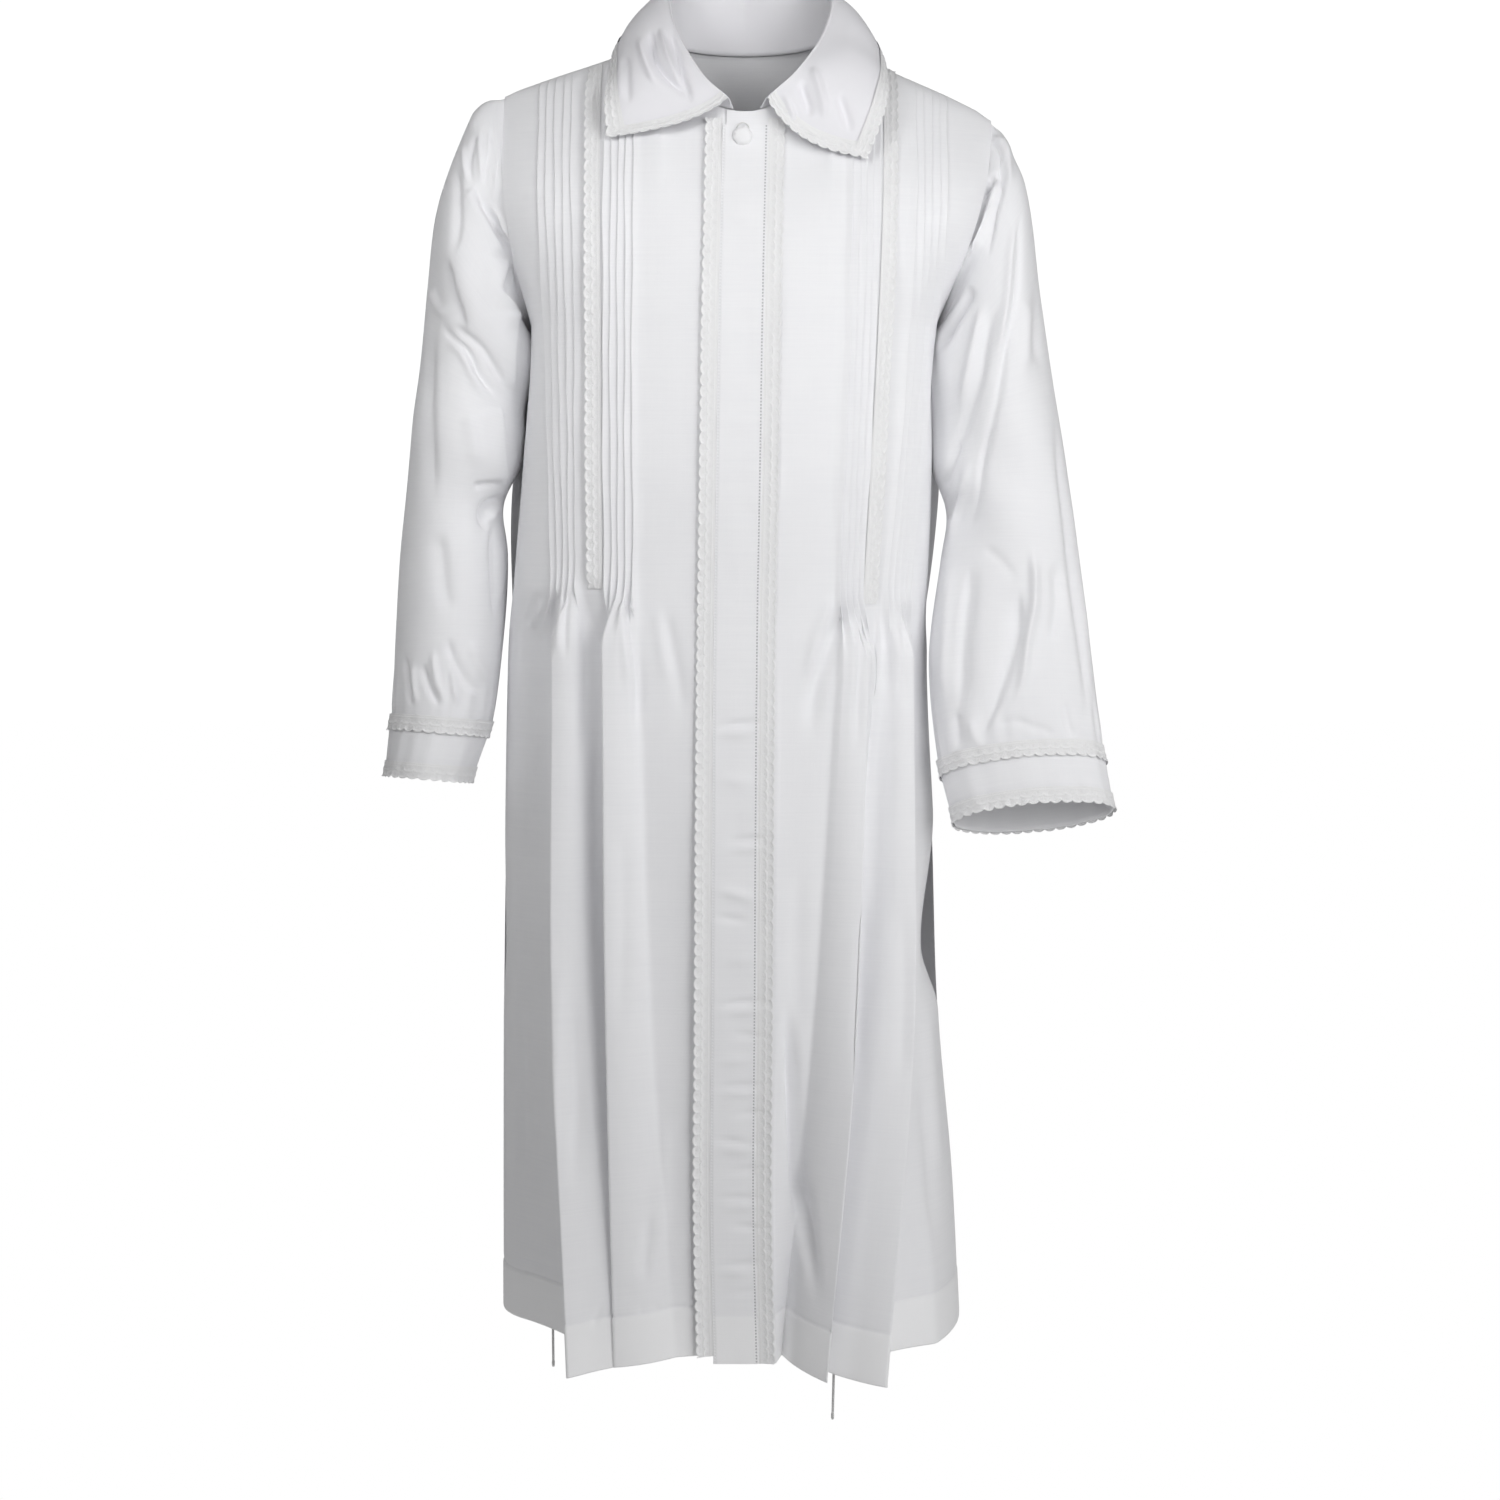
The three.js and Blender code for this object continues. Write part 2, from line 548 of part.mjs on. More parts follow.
function frontPanel(side) {
  const grid = gridOf(panelRows, frontStations, (i, j) => frontPoint(side, j, i));
  const outwards = new THREE.Vector3(signs[side], 0, 0);
  const fix = (i, j, p, n) => {
    if (j === frontStations - 1 && p.z <= armhole.underarm) return outwards;
    return topNormal(i, p, n);
  };
  return wallGeometry(grid, { wall: turned, fix, flip: side === "left" });
}
add("front_right", frontPanel("right"), cloth);
add("front_left", frontPanel("left"), cloth);

function backPanel() {
  const columns = 2 * backHalf + 1;
  const grid = gridOf(panelRows, columns, (i, j) => backPoint(j, i));
  const fix = (i, j, p, n) => {
    if ((j === 0 || j === columns - 1) && p.z <= armhole.underarm) {
      return new THREE.Vector3(j === 0 ? -1 : 1, 0, 0);
    }
    return topNormal(i, p, n);
  };
  return wallGeometry(grid, { wall: turned, fix });
}
add("back", backPanel(), cloth);

// ---- Placket, the lace along it and the lace between the tucks: strips moved out from the fronts ----
const placketFirstRow = 2;

// A strip on one front between two distances from the middle line, or two given by functions of height.
function frontStrip(side, from, to, firstRow, lastRow, wall, flip) {
  const edges = [from, to];
  const grid = gridOf(lastRow - firstRow + 1, 2, (i, j) => {
    const row = firstRow + i;
    const reach = (z) => (typeof edges[j] === "function"
      ? edges[j](z)
      : signs[side] * column(sections, "middle", z) + edges[j]);
    const top = stationTop("front", side, (z) => ({ x: reach(z) }));
    const z = rowHeight(side, row, top);
    const p = torsoPoint(side, "front", reach(z), z);
    return new THREE.Vector3(signs[side] * p.x, p.y - seamRoom(row), z);
  });
  return wallGeometry(grid, { wall, lift: wall + gap, flip });
}

const placketGrid = gridOf(panelRows - placketFirstRow, 4, (i, j) => {
  const x = [-placketHalf, ...middleStations.slice(0, 2), placketHalf][j];
  const top = stationTop("front", "left", () => ({ x }));
  const z = rowHeight("left", i + placketFirstRow, top);
  const p = torsoPoint("left", "front", column(sections, "middle", z) + x, z);
  return new THREE.Vector3(p.x, p.y, z);
});
add("placket", wallGeometry(placketGrid, { wall: placketWall, lift: placketWall + gap, flip: true }), cloth);

for (const side of ["right", "left"]) {
  const flip = side === "left";
  const from = placketHalf + gap;
  const strip = frontStrip(side, from, from + laceWidth, placketFirstRow, panelRows - 1, laceWall, flip);
  add("placket_lace_" + side, strip, lace);
  const middle = (z) => column(tuckRows[side], "lace", z);
  const inner = (z) => middle(z) - laceWidth / 2 + 1.6;
  const outer = (z) => middle(z) + laceWidth / 2 - 0.3;
  add("tuck_lace_" + side, frontStrip(side, inner, outer, 1, waistRow, laceWall, flip), lace);
}

// ---- Covered button, on the placket just below the collar ----
function coveredButton() {
  const { radius, height } = button;
  const dome = Array.from({ length: 6 }, (_, i) => {
    const angle = (Math.PI / 2) * (i / 5);
    return new THREE.Vector2(radius * Math.cos(angle), height * (0.35 + 0.65 * Math.sin(angle)));
  });
  const profile = [new THREE.Vector2(0, 0), new THREE.Vector2(radius * 0.8, 0), ...dome];
  profile[profile.length - 1].x = 0;
  return new THREE.LatheGeometry(profile, 16);
}
const buttonMesh = add("button", coveredButton(), covered);
const below = placketGrid.findIndex((line) => line[1].z < button.z);
const [high, low] = [placketGrid[below - 1][1], placketGrid[below][1]];
const surfaceY = mix(high.y, low.y, (high.z - button.z) / (high.z - low.z));
const lean = Math.atan2(high.y - low.y, high.z - low.z);
const off = placketWall + 2 * gap;
buttonMesh.rotation.x = Math.PI - lean;
buttonMesh.position.set(
  button.x,
  surfaceY - off * Math.cos(lean),
  button.z + off * Math.sin(lean),
);

// ---- Sleeves and cuffs ----
const armRows = sleeveRings.right.length;
const cuffTop = armRows - 1;
const seamShare = gap / 59; // of the cuff's length
const underarmRow = rowHeights.top.length + rowHeights.level.indexOf(armhole.underarm);

// Turns round the sleeve at which its seams meet the corners of the panels' own armhole edges.
function sleeveTurns(side) {
  const tip = shoulderPoint[side].z;
  const front = Array.from({ length: underarmRow + 1 }, (_, row) => {
    const fall = clamp((tip - rowHeight(side, row, tip)) / (tip - armhole.underarm), 0, 1);
    return Math.acos(1 - 2 * fall) / (2 * Math.PI);
  });
  return [...front, ...front.slice(1, -1).reverse().map((turn) => 1 - turn)];
}

// Edge of the armhole: 0 at the shoulder point, a quarter at the front, a half at the underarm.
function armholePoint(side, turn) {
  const angle = 2 * Math.PI * turn;
  const face = turn <= 0.5 ? "front" : "back";
  const tip = shoulderPoint[side];
  const z = mix(tip.z, armhole.underarm, (1 - Math.cos(angle)) / 2);
  const p = torsoSide(side, face, 0, 1, z);
  return new THREE.Vector3(signs[side] * (p.x + gap), p.y, z);
}

// How far the cloth rises over the sleeve's plain form at a place, from its folds.
function sleeveRise(side, ring, turn) {
  return sleeveFolds[side].reduce((sum, fold) => {
    const [a, b] = [fold.from, fold.to].map(([r, t]) => new THREE.Vector2(r, t * turnLength));
    const line = b.clone().sub(a);
    const place = new THREE.Vector2(ring, turn * turnLength);
    const along = clamp(place.clone().sub(a).dot(line) / line.lengthSq(), 0, 1);
    const away = place.distanceTo(a.addScaledVector(line, along)) / fold.width;
    return sum + fold.rise * Math.exp(-(away ** 2));
  }, 0);
}

// Point of the sleeve: ring 0 is the armhole, whole numbers are the rows of its table.
function sleevePoint(side, ring, turn) {
  const rings = sleeveRings[side];
  const places = rings.map((_, i) => i + 1);
  const value = (name) => (ring > cuffTop
    ? mix(rings[cuffTop - 1][name], rings[cuffTop][name], ring - cuffTop)
    : curve(places, rings.map((row) => row[name]), Math.max(1, ring)));
  const angle = 2 * Math.PI * turn;
  const tilt = THREE.MathUtils.degToRad(value("tilt"));
  const rise = sleeveRise(side, ring, turn);
  const outwards = (1 + Math.cos(angle)) / 2;
  const forwards = Math.sin(angle) * (value("depth") + rise);
  const p = new THREE.Vector3(
    signs[side] * (mix(value("inX"), value("outX"), outwards) + rise * Math.cos(angle)),
    value("y") - forwards * Math.cos(tilt),
    mix(value("inZ"), value("outZ"), outwards) + forwards * Math.sin(tilt),
  );
  return ring >= 1 ? p : armholePoint(side, turn).lerp(p, ring);
}

function tube(side, rings, options) {
  const turns = sleeveTurns(side);
  const grid = gridOf(rings.length, turns.length, (i, j) => sleevePoint(side, rings[i], turns[j]));
  const fix = (i, j, p, n) => (rings[i] === 0 ? new THREE.Vector3(0, n.y, n.z).normalize() : null);
  return wallGeometry(grid, { closed: true, fix, flip: side === "right", ...options });
}
for (const side of ["right", "left"]) {
  const rings = Array.from({ length: cuffTop }, (_, i) => i);
  add("sleeve_" + side, tube(side, [...rings, cuffTop - seamShare], {}), cloth);
  add("cuff_" + side, tube(side, [cuffTop, armRows], {}), cloth);
  const band = { wall: laceWall, lift: laceWall + 2.5 * gap };
  add("cuff_lace_upper_" + side, tube(side, [cuffTop, cuffTop + 0.27], band), lace);
  add("cuff_lace_lower_" + side, tube(side, [cuffTop + 0.74, armRows], band), lace);
}

// ---- Collar ----
function collarStation(side, t) {
  const table = collarStations[side];
  const places = table.map((row) => row.at);
  const vector = (name) => new THREE.Vector3(
    ...[0, 1, 2].map((axis) => curve(places, table.map((row) => row[name][axis]), t)),
  );
  const first = Math.asin(collarStart[side] / neck.half);
  const front = t <= collarSide;
  const angle = front
    ? mix(first, Math.PI / 2, t / collarSide)
    : (Math.PI / 2) * (1 - (t - collarSide) / (1 - collarSide));
  const x = neck.half * Math.sin(angle) * 0.999;
  const top = topEdge(side, front ? "front" : "back", x);
  const seam = new THREE.Vector3(signs[side] * x, top.y, top.z + 3 * gap);
  return { seam, roll: vector("roll"), edge: vector("edge") };
}

// Place along the whole collar: 0 is the right front end, 1 the middle of the back, 2 the left front end.
function collarPlace(column) {
  const first = 0.055;
  const half = collarColumns - 1;
  const step = Math.min(column, 2 * half - column);
  const t = step === 0 ? 0 : mix(first, 1, (step - 1) / (half - 1));
  return { side: column <= half ? "right" : "left", t };
}

function fallPoint(side, t, down) {
  const { roll, edge } = collarStation(side, t);
  const away = new THREE.Vector3(roll.x, roll.y, 0).normalize();
  const start = roll.clone().addScaledVector(away, collarWall + gap);
  const p = start.lerp(edge, down);
  const swell = 4 * down * (1 - down);
  const back = ease(t / 0.3);
  p.addScaledVector(away, collarBulge * swell * mix(0.25, 0.8, back));
  p.z += collarBulge * swell * 0.6 * back - collarSag[side] * (1 - back) * Math.sin(Math.PI * down ** 0.7);
  return p;
}

const collarWidth = 2 * collarColumns - 1;
const fallGrid = gridOf(collarRows.length, collarWidth, (i, j) => {
  const { side, t } = collarPlace(j);
  return fallPoint(side, t, collarRows[i]);
});
add("collar", wallGeometry(fallGrid, { wall: collarWall }), cloth);

const standGrid = gridOf(2, collarWidth, (i, j) => {
  const { side, t } = collarPlace(j);
  const { seam, roll } = collarStation(side, t);
  return i === 0 ? roll : seam;
});
add("collar_stand", wallGeometry(standGrid, { wall: collarWall }), cloth);

// Lace along the collar's front edges and outer edge, on the fall's own points.
function collarLace() {
  const lastRow = collarRows.length - 1;
  const lastColumn = collarWidth - 1;
  const normals = gridNormals(fallGrid, false);
  const ends = Array.from({ length: lastRow - 1 }, (_, i) => i);
  const pairs = [
    ...ends.map((i) => [[i, 0], [i, 1]]),
    [[lastRow, 0], [lastRow - 1, 1]],
    ...Array.from({ length: lastColumn - 3 }, (_, k) => [[lastRow, k + 2], [lastRow - 1, k + 2]]),
    [[lastRow, lastColumn], [lastRow - 1, lastColumn - 1]],
    ...ends.map((i) => [[i, lastColumn], [i, lastColumn - 1]]).reverse(),
  ];
  const lifted = ([i, j]) => fallGrid[i][j].clone().addScaledVector(normals[i][j], 2 * gap);
  const grid = [1, 0].map((k) => pairs.map((pair) => lifted(pair[k])));
  return wallGeometry(grid, { wall: laceWall, lift: laceWall });
}
add("collar_lace", collarLace(), lace);

// ---- Tie cords ----
// y of the place at a distance behind a front's outer face, at one of its rows.
function behindFront(side, x, row, distance) {
  const line = Array.from({ length: frontStations }, (_, j) => frontPoint(side, j, row));
  const next = line.findIndex((p) => Math.abs(p.x) > x);
  const [a, b] = [line[next - 1], line[next]];
  const width = Math.abs(b.x - a.x);
  const slope = Math.hypot(width, b.y - a.y) / width;
  return mix(a.y, b.y, (x - Math.abs(a.x)) / width) + distance * slope;
}
for (const side of ["right", "left"]) {
  const c = cords[side];
  const steps = 30;
  const top = tuckEnd[side];
  const seatY = behindFront(side, Math.abs(c.x), waistRow, clothWall + 2 * gap + cordRadius);
  const route = Array.from({ length: steps + 1 }, (_, i) => {
    const t = i / steps;
    const z = mix(top, c.end, t);
    return new THREE.Vector3(c.x + c.sway * t ** 3, mix(seatY, c.y, ease((top - z) / 40)), z);
  });
  const section = new THREE.Shape().absarc(0, 0, cordRadius, 0, 2 * Math.PI);
  const geometry = new THREE.ExtrudeGeometry(section, {
    steps,
    curveSegments: 4,
    extrudePath: new THREE.CatmullRomCurve3(route),
  });
  add("tie_cord_" + side, geometry, string);
}

export default group;
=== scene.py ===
"""White kittel, worn: thin cloth shells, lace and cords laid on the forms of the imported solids."""
import math
import bpy
import numpy as np
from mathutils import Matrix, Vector


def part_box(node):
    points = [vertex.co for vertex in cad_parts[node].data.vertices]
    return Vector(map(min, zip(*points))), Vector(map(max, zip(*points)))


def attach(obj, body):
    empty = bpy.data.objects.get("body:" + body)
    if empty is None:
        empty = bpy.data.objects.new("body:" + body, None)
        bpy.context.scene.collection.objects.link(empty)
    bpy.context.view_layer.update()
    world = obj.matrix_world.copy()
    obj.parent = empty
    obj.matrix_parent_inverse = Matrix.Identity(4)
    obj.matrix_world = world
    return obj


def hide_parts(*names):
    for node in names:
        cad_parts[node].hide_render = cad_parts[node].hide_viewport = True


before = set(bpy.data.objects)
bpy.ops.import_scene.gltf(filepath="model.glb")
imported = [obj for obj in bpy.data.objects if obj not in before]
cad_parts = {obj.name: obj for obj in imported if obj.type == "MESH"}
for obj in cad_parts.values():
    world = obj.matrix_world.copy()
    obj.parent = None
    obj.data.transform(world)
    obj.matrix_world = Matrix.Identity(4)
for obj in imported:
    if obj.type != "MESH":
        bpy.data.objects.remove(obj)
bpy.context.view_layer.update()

MM = 0.001
SIGN = {"right": -1.0, "left": 1.0}

# ---- Camera: a little above the waist, looking a little down ----
camera_data = bpy.data.cameras.new("camera")
camera_data.sensor_width = 36.0
camera_data.lens = 61.92
camera = bpy.data.objects.new("camera", camera_data)
camera.location = (0.0048, -2.45, -0.4)
camera.rotation_euler = (math.radians(84.5), 0.0, 0.0)
bpy.context.scene.collection.objects.link(camera)
bpy.context.scene.camera = camera


# ---- Small mathematics ----
def mix(a, b, t):
    return a + (b - a) * t


def ease(t):
    t = np.clip(t, 0.0, 1.0)
    return t * t * (3.0 - 2.0 * t)


def bell(distance, width):
    return np.exp(-((distance / width) ** 2))


def curve(places, values, at):
    """Smooth curve through values[i] at places[i]."""
    p, v = np.asarray(places, float), np.asarray(values, float)
    if p[0] > p[-1]:
        p, v = p[::-1], v[::-1]
    last = len(p) - 1
    at = np.clip(np.asarray(at, float), p[0], p[-1])
    low, high = np.maximum(np.arange(last + 1) - 1, 0), np.minimum(np.arange(last + 1) + 1, last)
    wide = (p[high] - p[low]).reshape((-1,) + (1,) * (v.ndim - 1))
    slopes = (v[high] - v[low]) / wide
    i = np.clip(np.searchsorted(p, at, side="right") - 1, 0, last - 1)
    shape = at.shape + (1,) * (v.ndim - 1)
    span = (p[i + 1] - p[i]).reshape(shape)
    t = (at - p[i]).reshape(shape) / span
    rise, m0, m1 = v[i + 1] - v[i], slopes[i] * span, slopes[i + 1] * span
    return v[i] + t * (m0 + t * (3 * rise - 2 * m0 - m1 + t * (m0 + m1 - 2 * rise)))


def lengths_along(line):
    """Length along a line of points, 0 at its first."""
    return np.concatenate([[0], np.cumsum(np.linalg.norm(np.diff(line, axis=0), axis=1))])


def unit(v):
    return v / np.maximum(np.linalg.norm(v, axis=-1, keepdims=True), 1e-9)


# ---- Sizes in millimetres, close to those of the solids ----
SECTION_Z = [40, -50, -140, -236, -370, -480, -560, -700, -880, -1040, -1180]
SECTION = {
    "right": [224, 222, 212, 199, 208, 218, 224, 228, 232, 234, 235],
    "left": [229, 228, 210, 178, 175, 172, 167, 178, 185, 200, 208],
    "front": [82, 96, 125, 139, 142, 134, 136, 143, 149, 154, 157],
    "back": [68, 96, 116, 116, 107, 102, 110, 126, 131, 135, 138],
    "middle": [2, 1, -1, -3, -5, -7, -8, -9, -10, -11, -8],
    "square": [2.3, 2.3, 2.8, 2.8, 2.8, 2.7, 2.5, 2.5, 2.4, 2.3, 2.3],
}
HEM = {"right": -1177.0, "left": -1184.0}
HEM_DEPTH, HEM_GAP = 46.0, 1.3
NECK_HALF, NECK_SIDE = 76.0, (8.0, 27.0)
NECK_END = {"front": (-95.0, -52.0), "back": (66.0, 22.0)}
SHOULDER = {"right": (224.0, -24.0), "left": (230.0, -46.0)}
ROUND_OVER = {"right": 1.5, "left": 3.0}
SHOULDER_ROUND = {"front": 150.0, "back": 120.0}
UNDERARM = -238.0
ARMHOLE_REACH = {"front": 70.0, "back": 66.0}
ARMHOLE_TURN = {"right": 2.2, "left": 1.6}
TUCK_END = {"right": -478.0, "left": -492.0}
TUCK_Z = [-30, -221, -485]
TUCKS = {
    "right": {"innerFrom": [93, 93, 94], "innerTo": [126, 126, 126], "lace": [137, 134, 134],
              "outerFrom": [150, 145, 147], "outerTo": [189, 182, 174]},
    "left": {"innerFrom": [92, 88, 80], "innerTo": [123, 118, 106], "lace": [133, 126, 113],
             "outerFrom": [149, 143, 123], "outerTo": [186, 176, 149]},
}
TUCKS_IN_BLOCK = 5
LACE_WIDTH = 15.5
PLACKET_HALF, OVERLAP, UNDERLAP = 20.5, 17.0, 4.2
FRONT_START = PLACKET_HALF + LACE_WIDTH + 0.7
FOLD_Z = [-560, -880, -1180]
FOLDS = {  # place: x, y forwards at three heights, and how much lower the hem hangs
    "right": {
        "plain": ([95, 84, 62], [129, 146, 160], 0), "edge1": ([129, 126, 119], [138, 160, 174], 5),
        "valley1": ([119, 108, 103], [112, 118, 140], 2), "edge2": ([177, 176, 161], [116, 148, 190], 10),
        "valley2": ([167, 160, 145], [88, 96, 130], 0), "sidePanel": ([208, 212, 206], [50, 38, 52], 0)},
    "left": {
        "plain": ([82, 62, 34], [128, 140, 132], 0), "edge1": ([112, 102, 75], [128, 162, 194], 6),
        "valley1": ([118, 91, 62], [112, 124, 148], 2), "edge2": ([154, 156, 129], [104, 138, 194], 10),
        "valley2": ([150, 144, 115], [80, 98, 140], 0), "sidePanel": ([163, 166, 178], [44, 54, 100], 0)},
}
FOLD_NAMES = ["start", "plain", "edge1", "valley1", "edge2", "valley2", "sidePanel", "seam"]
FOLD_SWELL = [0, 4, 0, 7, 0, -3, 6]
SLIT_TOP, SLIT_WIDEST, SLIT_BOTTOM, SLIT_FORWARD, SLIT_IN = -690.0, -820.0, -885.0, 26.0, 15.0
SLIT_SHARE = {"right": 0.16, "left": 1.0}
RING_NAMES = ("outX", "outZ", "inX", "inZ", "depth", "y", "tilt")
RINGS = {
    "right": [
        (249, -42, 203, -242, 68, 3, 0), (272, -88, 205, -249, 73, 3, 0),
        (288, -135, 206, -260, 75, 2, 0), (297, -200, 207, -282, 75, 1, 0),
        (305, -278, 210, -318, 74, 0, 0), (313, -338, 217, -362, 72, -1, 0),
        (319, -395, 231, -402, 69, -3, 2), (325, -455, 225, -450, 69, -8, 4),
        (329, -528, 228, -525, 66, -16, 5), (332, -599, 238, -606, 61, -26, 6),
        (338, -658, 259, -664, 59, -32, 6),
    ],
    "left": [
        (246, -72, 182, -242, 66, -1, 0), (257, -102, 183, -249, 72, -3, 0),
        (267, -143, 183, -260, 75, -6, 0), (275, -205, 183, -284, 75, -10, 0),
        (287, -285, 182, -322, 73, -15, 2), (298, -352, 182, -366, 70, -20, 5),
        (306, -412, 190, -410, 65, -27, 9), (312, -460, 184, -458, 58, -36, 13),
        (322, -545, 172, -548, 49, -53, 18), (331, -627, 179, -640, 40, -68, 25),
        (341, -686, 194, -698, 34, -80, 30),
    ],
}
CUFF_TOP = len(RINGS["right"]) - 1
SLEEVE_FOLDS = {  # from (ring, turn), to (ring, turn), half width in rings, rise
    "right": [(1.2, .23, .9, .44, .6, -5), (1.3, .09, 3.2, .2, .7, 5), (4.2, .13, 4.9, .48, .6, -7),
              (5.6, .12, 6.4, .4, .6, 4), (2.2, .62, 1.4, .8, .7, -8), (4.6, .6, 4.1, .86, .7, -6),
              (7.4, .58, 6.6, .84, .7, -5)],
    "left": [(1, .12, 1.2, .4, .6, -4), (2, .1, 4.5, .22, .7, 5), (5.2, .42, 6.8, .2, .6, -5),
             (7.2, .4, 9, .24, .6, -4), (2, .62, 1.3, .82, .7, -8), (4.8, .6, 4.2, .84, .7, -6),
             (7, .58, 6.3, .82, .7, -5)],
}
TURN_LENGTH = 9.0
COLLAR_AT = [0, 0.2, 0.44, 0.66, 0.84, 1]
COLLAR_ROLL = {
    "right": [(-14, -102, -42), (-38, -88, -18), (-63, -44, 32), (-67, 6, 76), (-46, 54, 83), (0, 70, 85)],
    "left": [(19, -102, -42), (47, -88, -15), (72, -46, 27), (79, 4, 70), (54, 54, 82), (0, 70, 85)],
}
COLLAR_EDGE = {
    "right": [(-124, -92, -76), (-126, -83, -45), (-122, -49, -12), (-117, 12, 20), (-88, 72, 6),
              (0, 100, 2)],
    "left": [(110, -109, -97), (126, -88, -50), (129, -50, -14), (121, 10, 17), (90, 72, 5), (0, 100, 2)],
}
COLLAR_START = {"right": 10.0, "left": 14.0}
COLLAR_SIDE, COLLAR_WALL, COLLAR_BULGE = 0.66, 1.6, 9.0
COLLAR_SAG = {"right": 9.0, "left": 17.0}
CORD_RADIUS = 1.3
CORDS = {"right": (-184.0, -53.0, -1222.0, 1.0), "left": (88.0, -108.0, -1254.0, -6.0)}


def section(name, z):
    return curve(SECTION_Z, SECTION[name], z)


def top_edge(side, face, x):
    """y and z of the top edge of the panels, above a point x outwards."""
    x = np.abs(x)
    dip = np.sqrt(np.clip(1 - (x / NECK_HALF) ** 2, 0, 1))
    end_y, end_z = NECK_END[face]
    tip_x, tip_z = SHOULDER[side]
    t = (x - NECK_HALF) / (tip_x - NECK_HALF)
    y = np.where(x < NECK_HALF, mix(NECK_SIDE[0], end_y, dip), mix(NECK_SIDE[0], NECK_SIDE[0] - 3, t))
    # Worn, the cloth is a little rounder over the shoulder than the straight seam of the solids.
    round_over = ROUND_OVER[side] * bell(t - 0.8, 0.3) * ease((1 - t) / 0.1)
    z = np.where(x < NECK_HALF, mix(NECK_SIDE[1], end_z, dip ** 1.3),
                 mix(NECK_SIDE[1], tip_z, t) + round_over)
    return y, z


def side_edge(side, face, z):
    """x outwards and y reach of the armhole above the underarm, and of the side seam below it."""
    tip_x, tip_z = SHOULDER[side]
    t = np.clip((tip_z - z) / (tip_z - UNDERARM), 0, 1)
    x = np.where(z <= UNDERARM, section(side, z),
                 mix(tip_x, section(side, UNDERARM), t ** ARMHOLE_TURN[side]))
    y = np.where(z <= UNDERARM, 0.0, ARMHOLE_REACH[face] * np.clip(np.sin(np.pi * t), 0, 1) ** 0.8)
    return x, y


def quarter(side, face, z):
    square, middle, depth = section("square", z), SIGN[side] * section("middle", z), section(face, z)
    edge_x, edge_y = side_edge(side, face, z)
    share = np.clip(edge_y / depth, 0, 0.95)
    width = (edge_x - middle) / (1 - share ** square) ** (1 / square)
    return square, middle, depth, width, edge_x, edge_y


def depth_at(q, x):
    square, middle, depth, width = q[:4]
    return depth * np.clip(1 - np.clip((x - middle) / width, 0, 1) ** square, 0, 1) ** (1 / square)


def rolled(side, face, x, z, depth):
    """The cloth rolls off the shoulder line: depth grows from the top edge downwards."""
    top_y, top_z = top_edge(side, face, x)
    t = np.clip((top_z - z) / SHOULDER_ROUND[face], 0, 1)
    return mix(top_y, -depth if face == "front" else depth, np.sqrt(1 - (1 - t) ** 2))


def torso_y(side, face, x, z):
    return rolled(side, face, x, z, depth_at(quarter(side, face, z), x))


def torso_side(side, face, start, share, z):
    """x and y between x = start and the panel's side edge, at a share of the way round."""
    q = quarter(side, face, z)
    square, middle, depth, width, _, edge_y = q
    e = square / 2
    first = np.arcsin(np.clip((start - middle) / width, 0, 1) ** e)
    last = np.arccos(np.clip(edge_y / depth, 0, 1) ** e)
    angle = mix(first, last, share)
    x = middle + width * np.clip(np.sin(angle), 0, 1) ** (1 / e)
    deep = depth * np.clip(np.cos(angle), 0, 1) ** (1 / e)
    return x, rolled(side, face, x, z, deep)


def slit_open(side, z):
    end = np.where(z > SLIT_WIDEST, SLIT_TOP, SLIT_BOTTOM)
    return SLIT_SHARE[side] * ease((end - z) / (end - SLIT_WIDEST))


# ---- Meshes from grids of points ----
def grid_normals(points, closed=False):
    """Unit normals of a grid, along the cross product of its two directions."""
    if closed:
        across = np.roll(points, -1, 1) - np.roll(points, 1, 1)
    else:
        across = np.gradient(points, axis=1)
    return unit(np.cross(across, np.gradient(points, axis=0)))


def grid_object(name, points, material, nodes, closed=False, u=None, v=None, solid=0.0, scale=MM):
    """A piece whose mesh is a grid of quads, with a UV map in metres of cloth."""
    rows, columns = points.shape[:2]
    steps = np.linalg.norm(np.diff(points, axis=1), axis=2)
    if closed:
        last = np.linalg.norm(points[:, :1] - points[:, -1:], axis=2)
        steps = np.concatenate([steps, last], axis=1)
    if u is None:
        u = np.concatenate([[0.0], np.cumsum(steps.mean(axis=0))])
    if v is None:
        v = np.concatenate([[0.0], np.cumsum(np.linalg.norm(np.diff(points, axis=0), axis=2).mean(axis=1))])
        v = -np.repeat(v[:, None], columns, axis=1)
    spans = columns if closed else columns - 1
    i, j = np.meshgrid(np.arange(rows - 1), np.arange(spans), indexing="ij")
    k = (j + 1) % columns
    faces = np.stack([i * columns + j, i * columns + k, (i + 1) * columns + k, (i + 1) * columns + j], -1)
    faces = faces.reshape(-1, 4)
    mesh = bpy.data.meshes.new(name)
    mesh.from_pydata((points.reshape(-1, 3) * scale).tolist(), [], faces.tolist())
    corner_u = np.stack([u[j], u[j + 1], u[j + 1], u[j]], -1)
    corner_v = np.stack([v[i, j], v[i, k], v[i + 1, k], v[i + 1, j]], -1)
    uv = np.stack([corner_u, corner_v], -1).reshape(-1) * MM
    mesh.uv_layers.new(name="cloth").data.foreach_set("uv", uv)
    mesh.polygons.foreach_set("use_smooth", [True] * len(faces))
    mesh.update()
    piece = bpy.data.objects.new(name, mesh)
    return finish_piece(piece, material, nodes, solid)


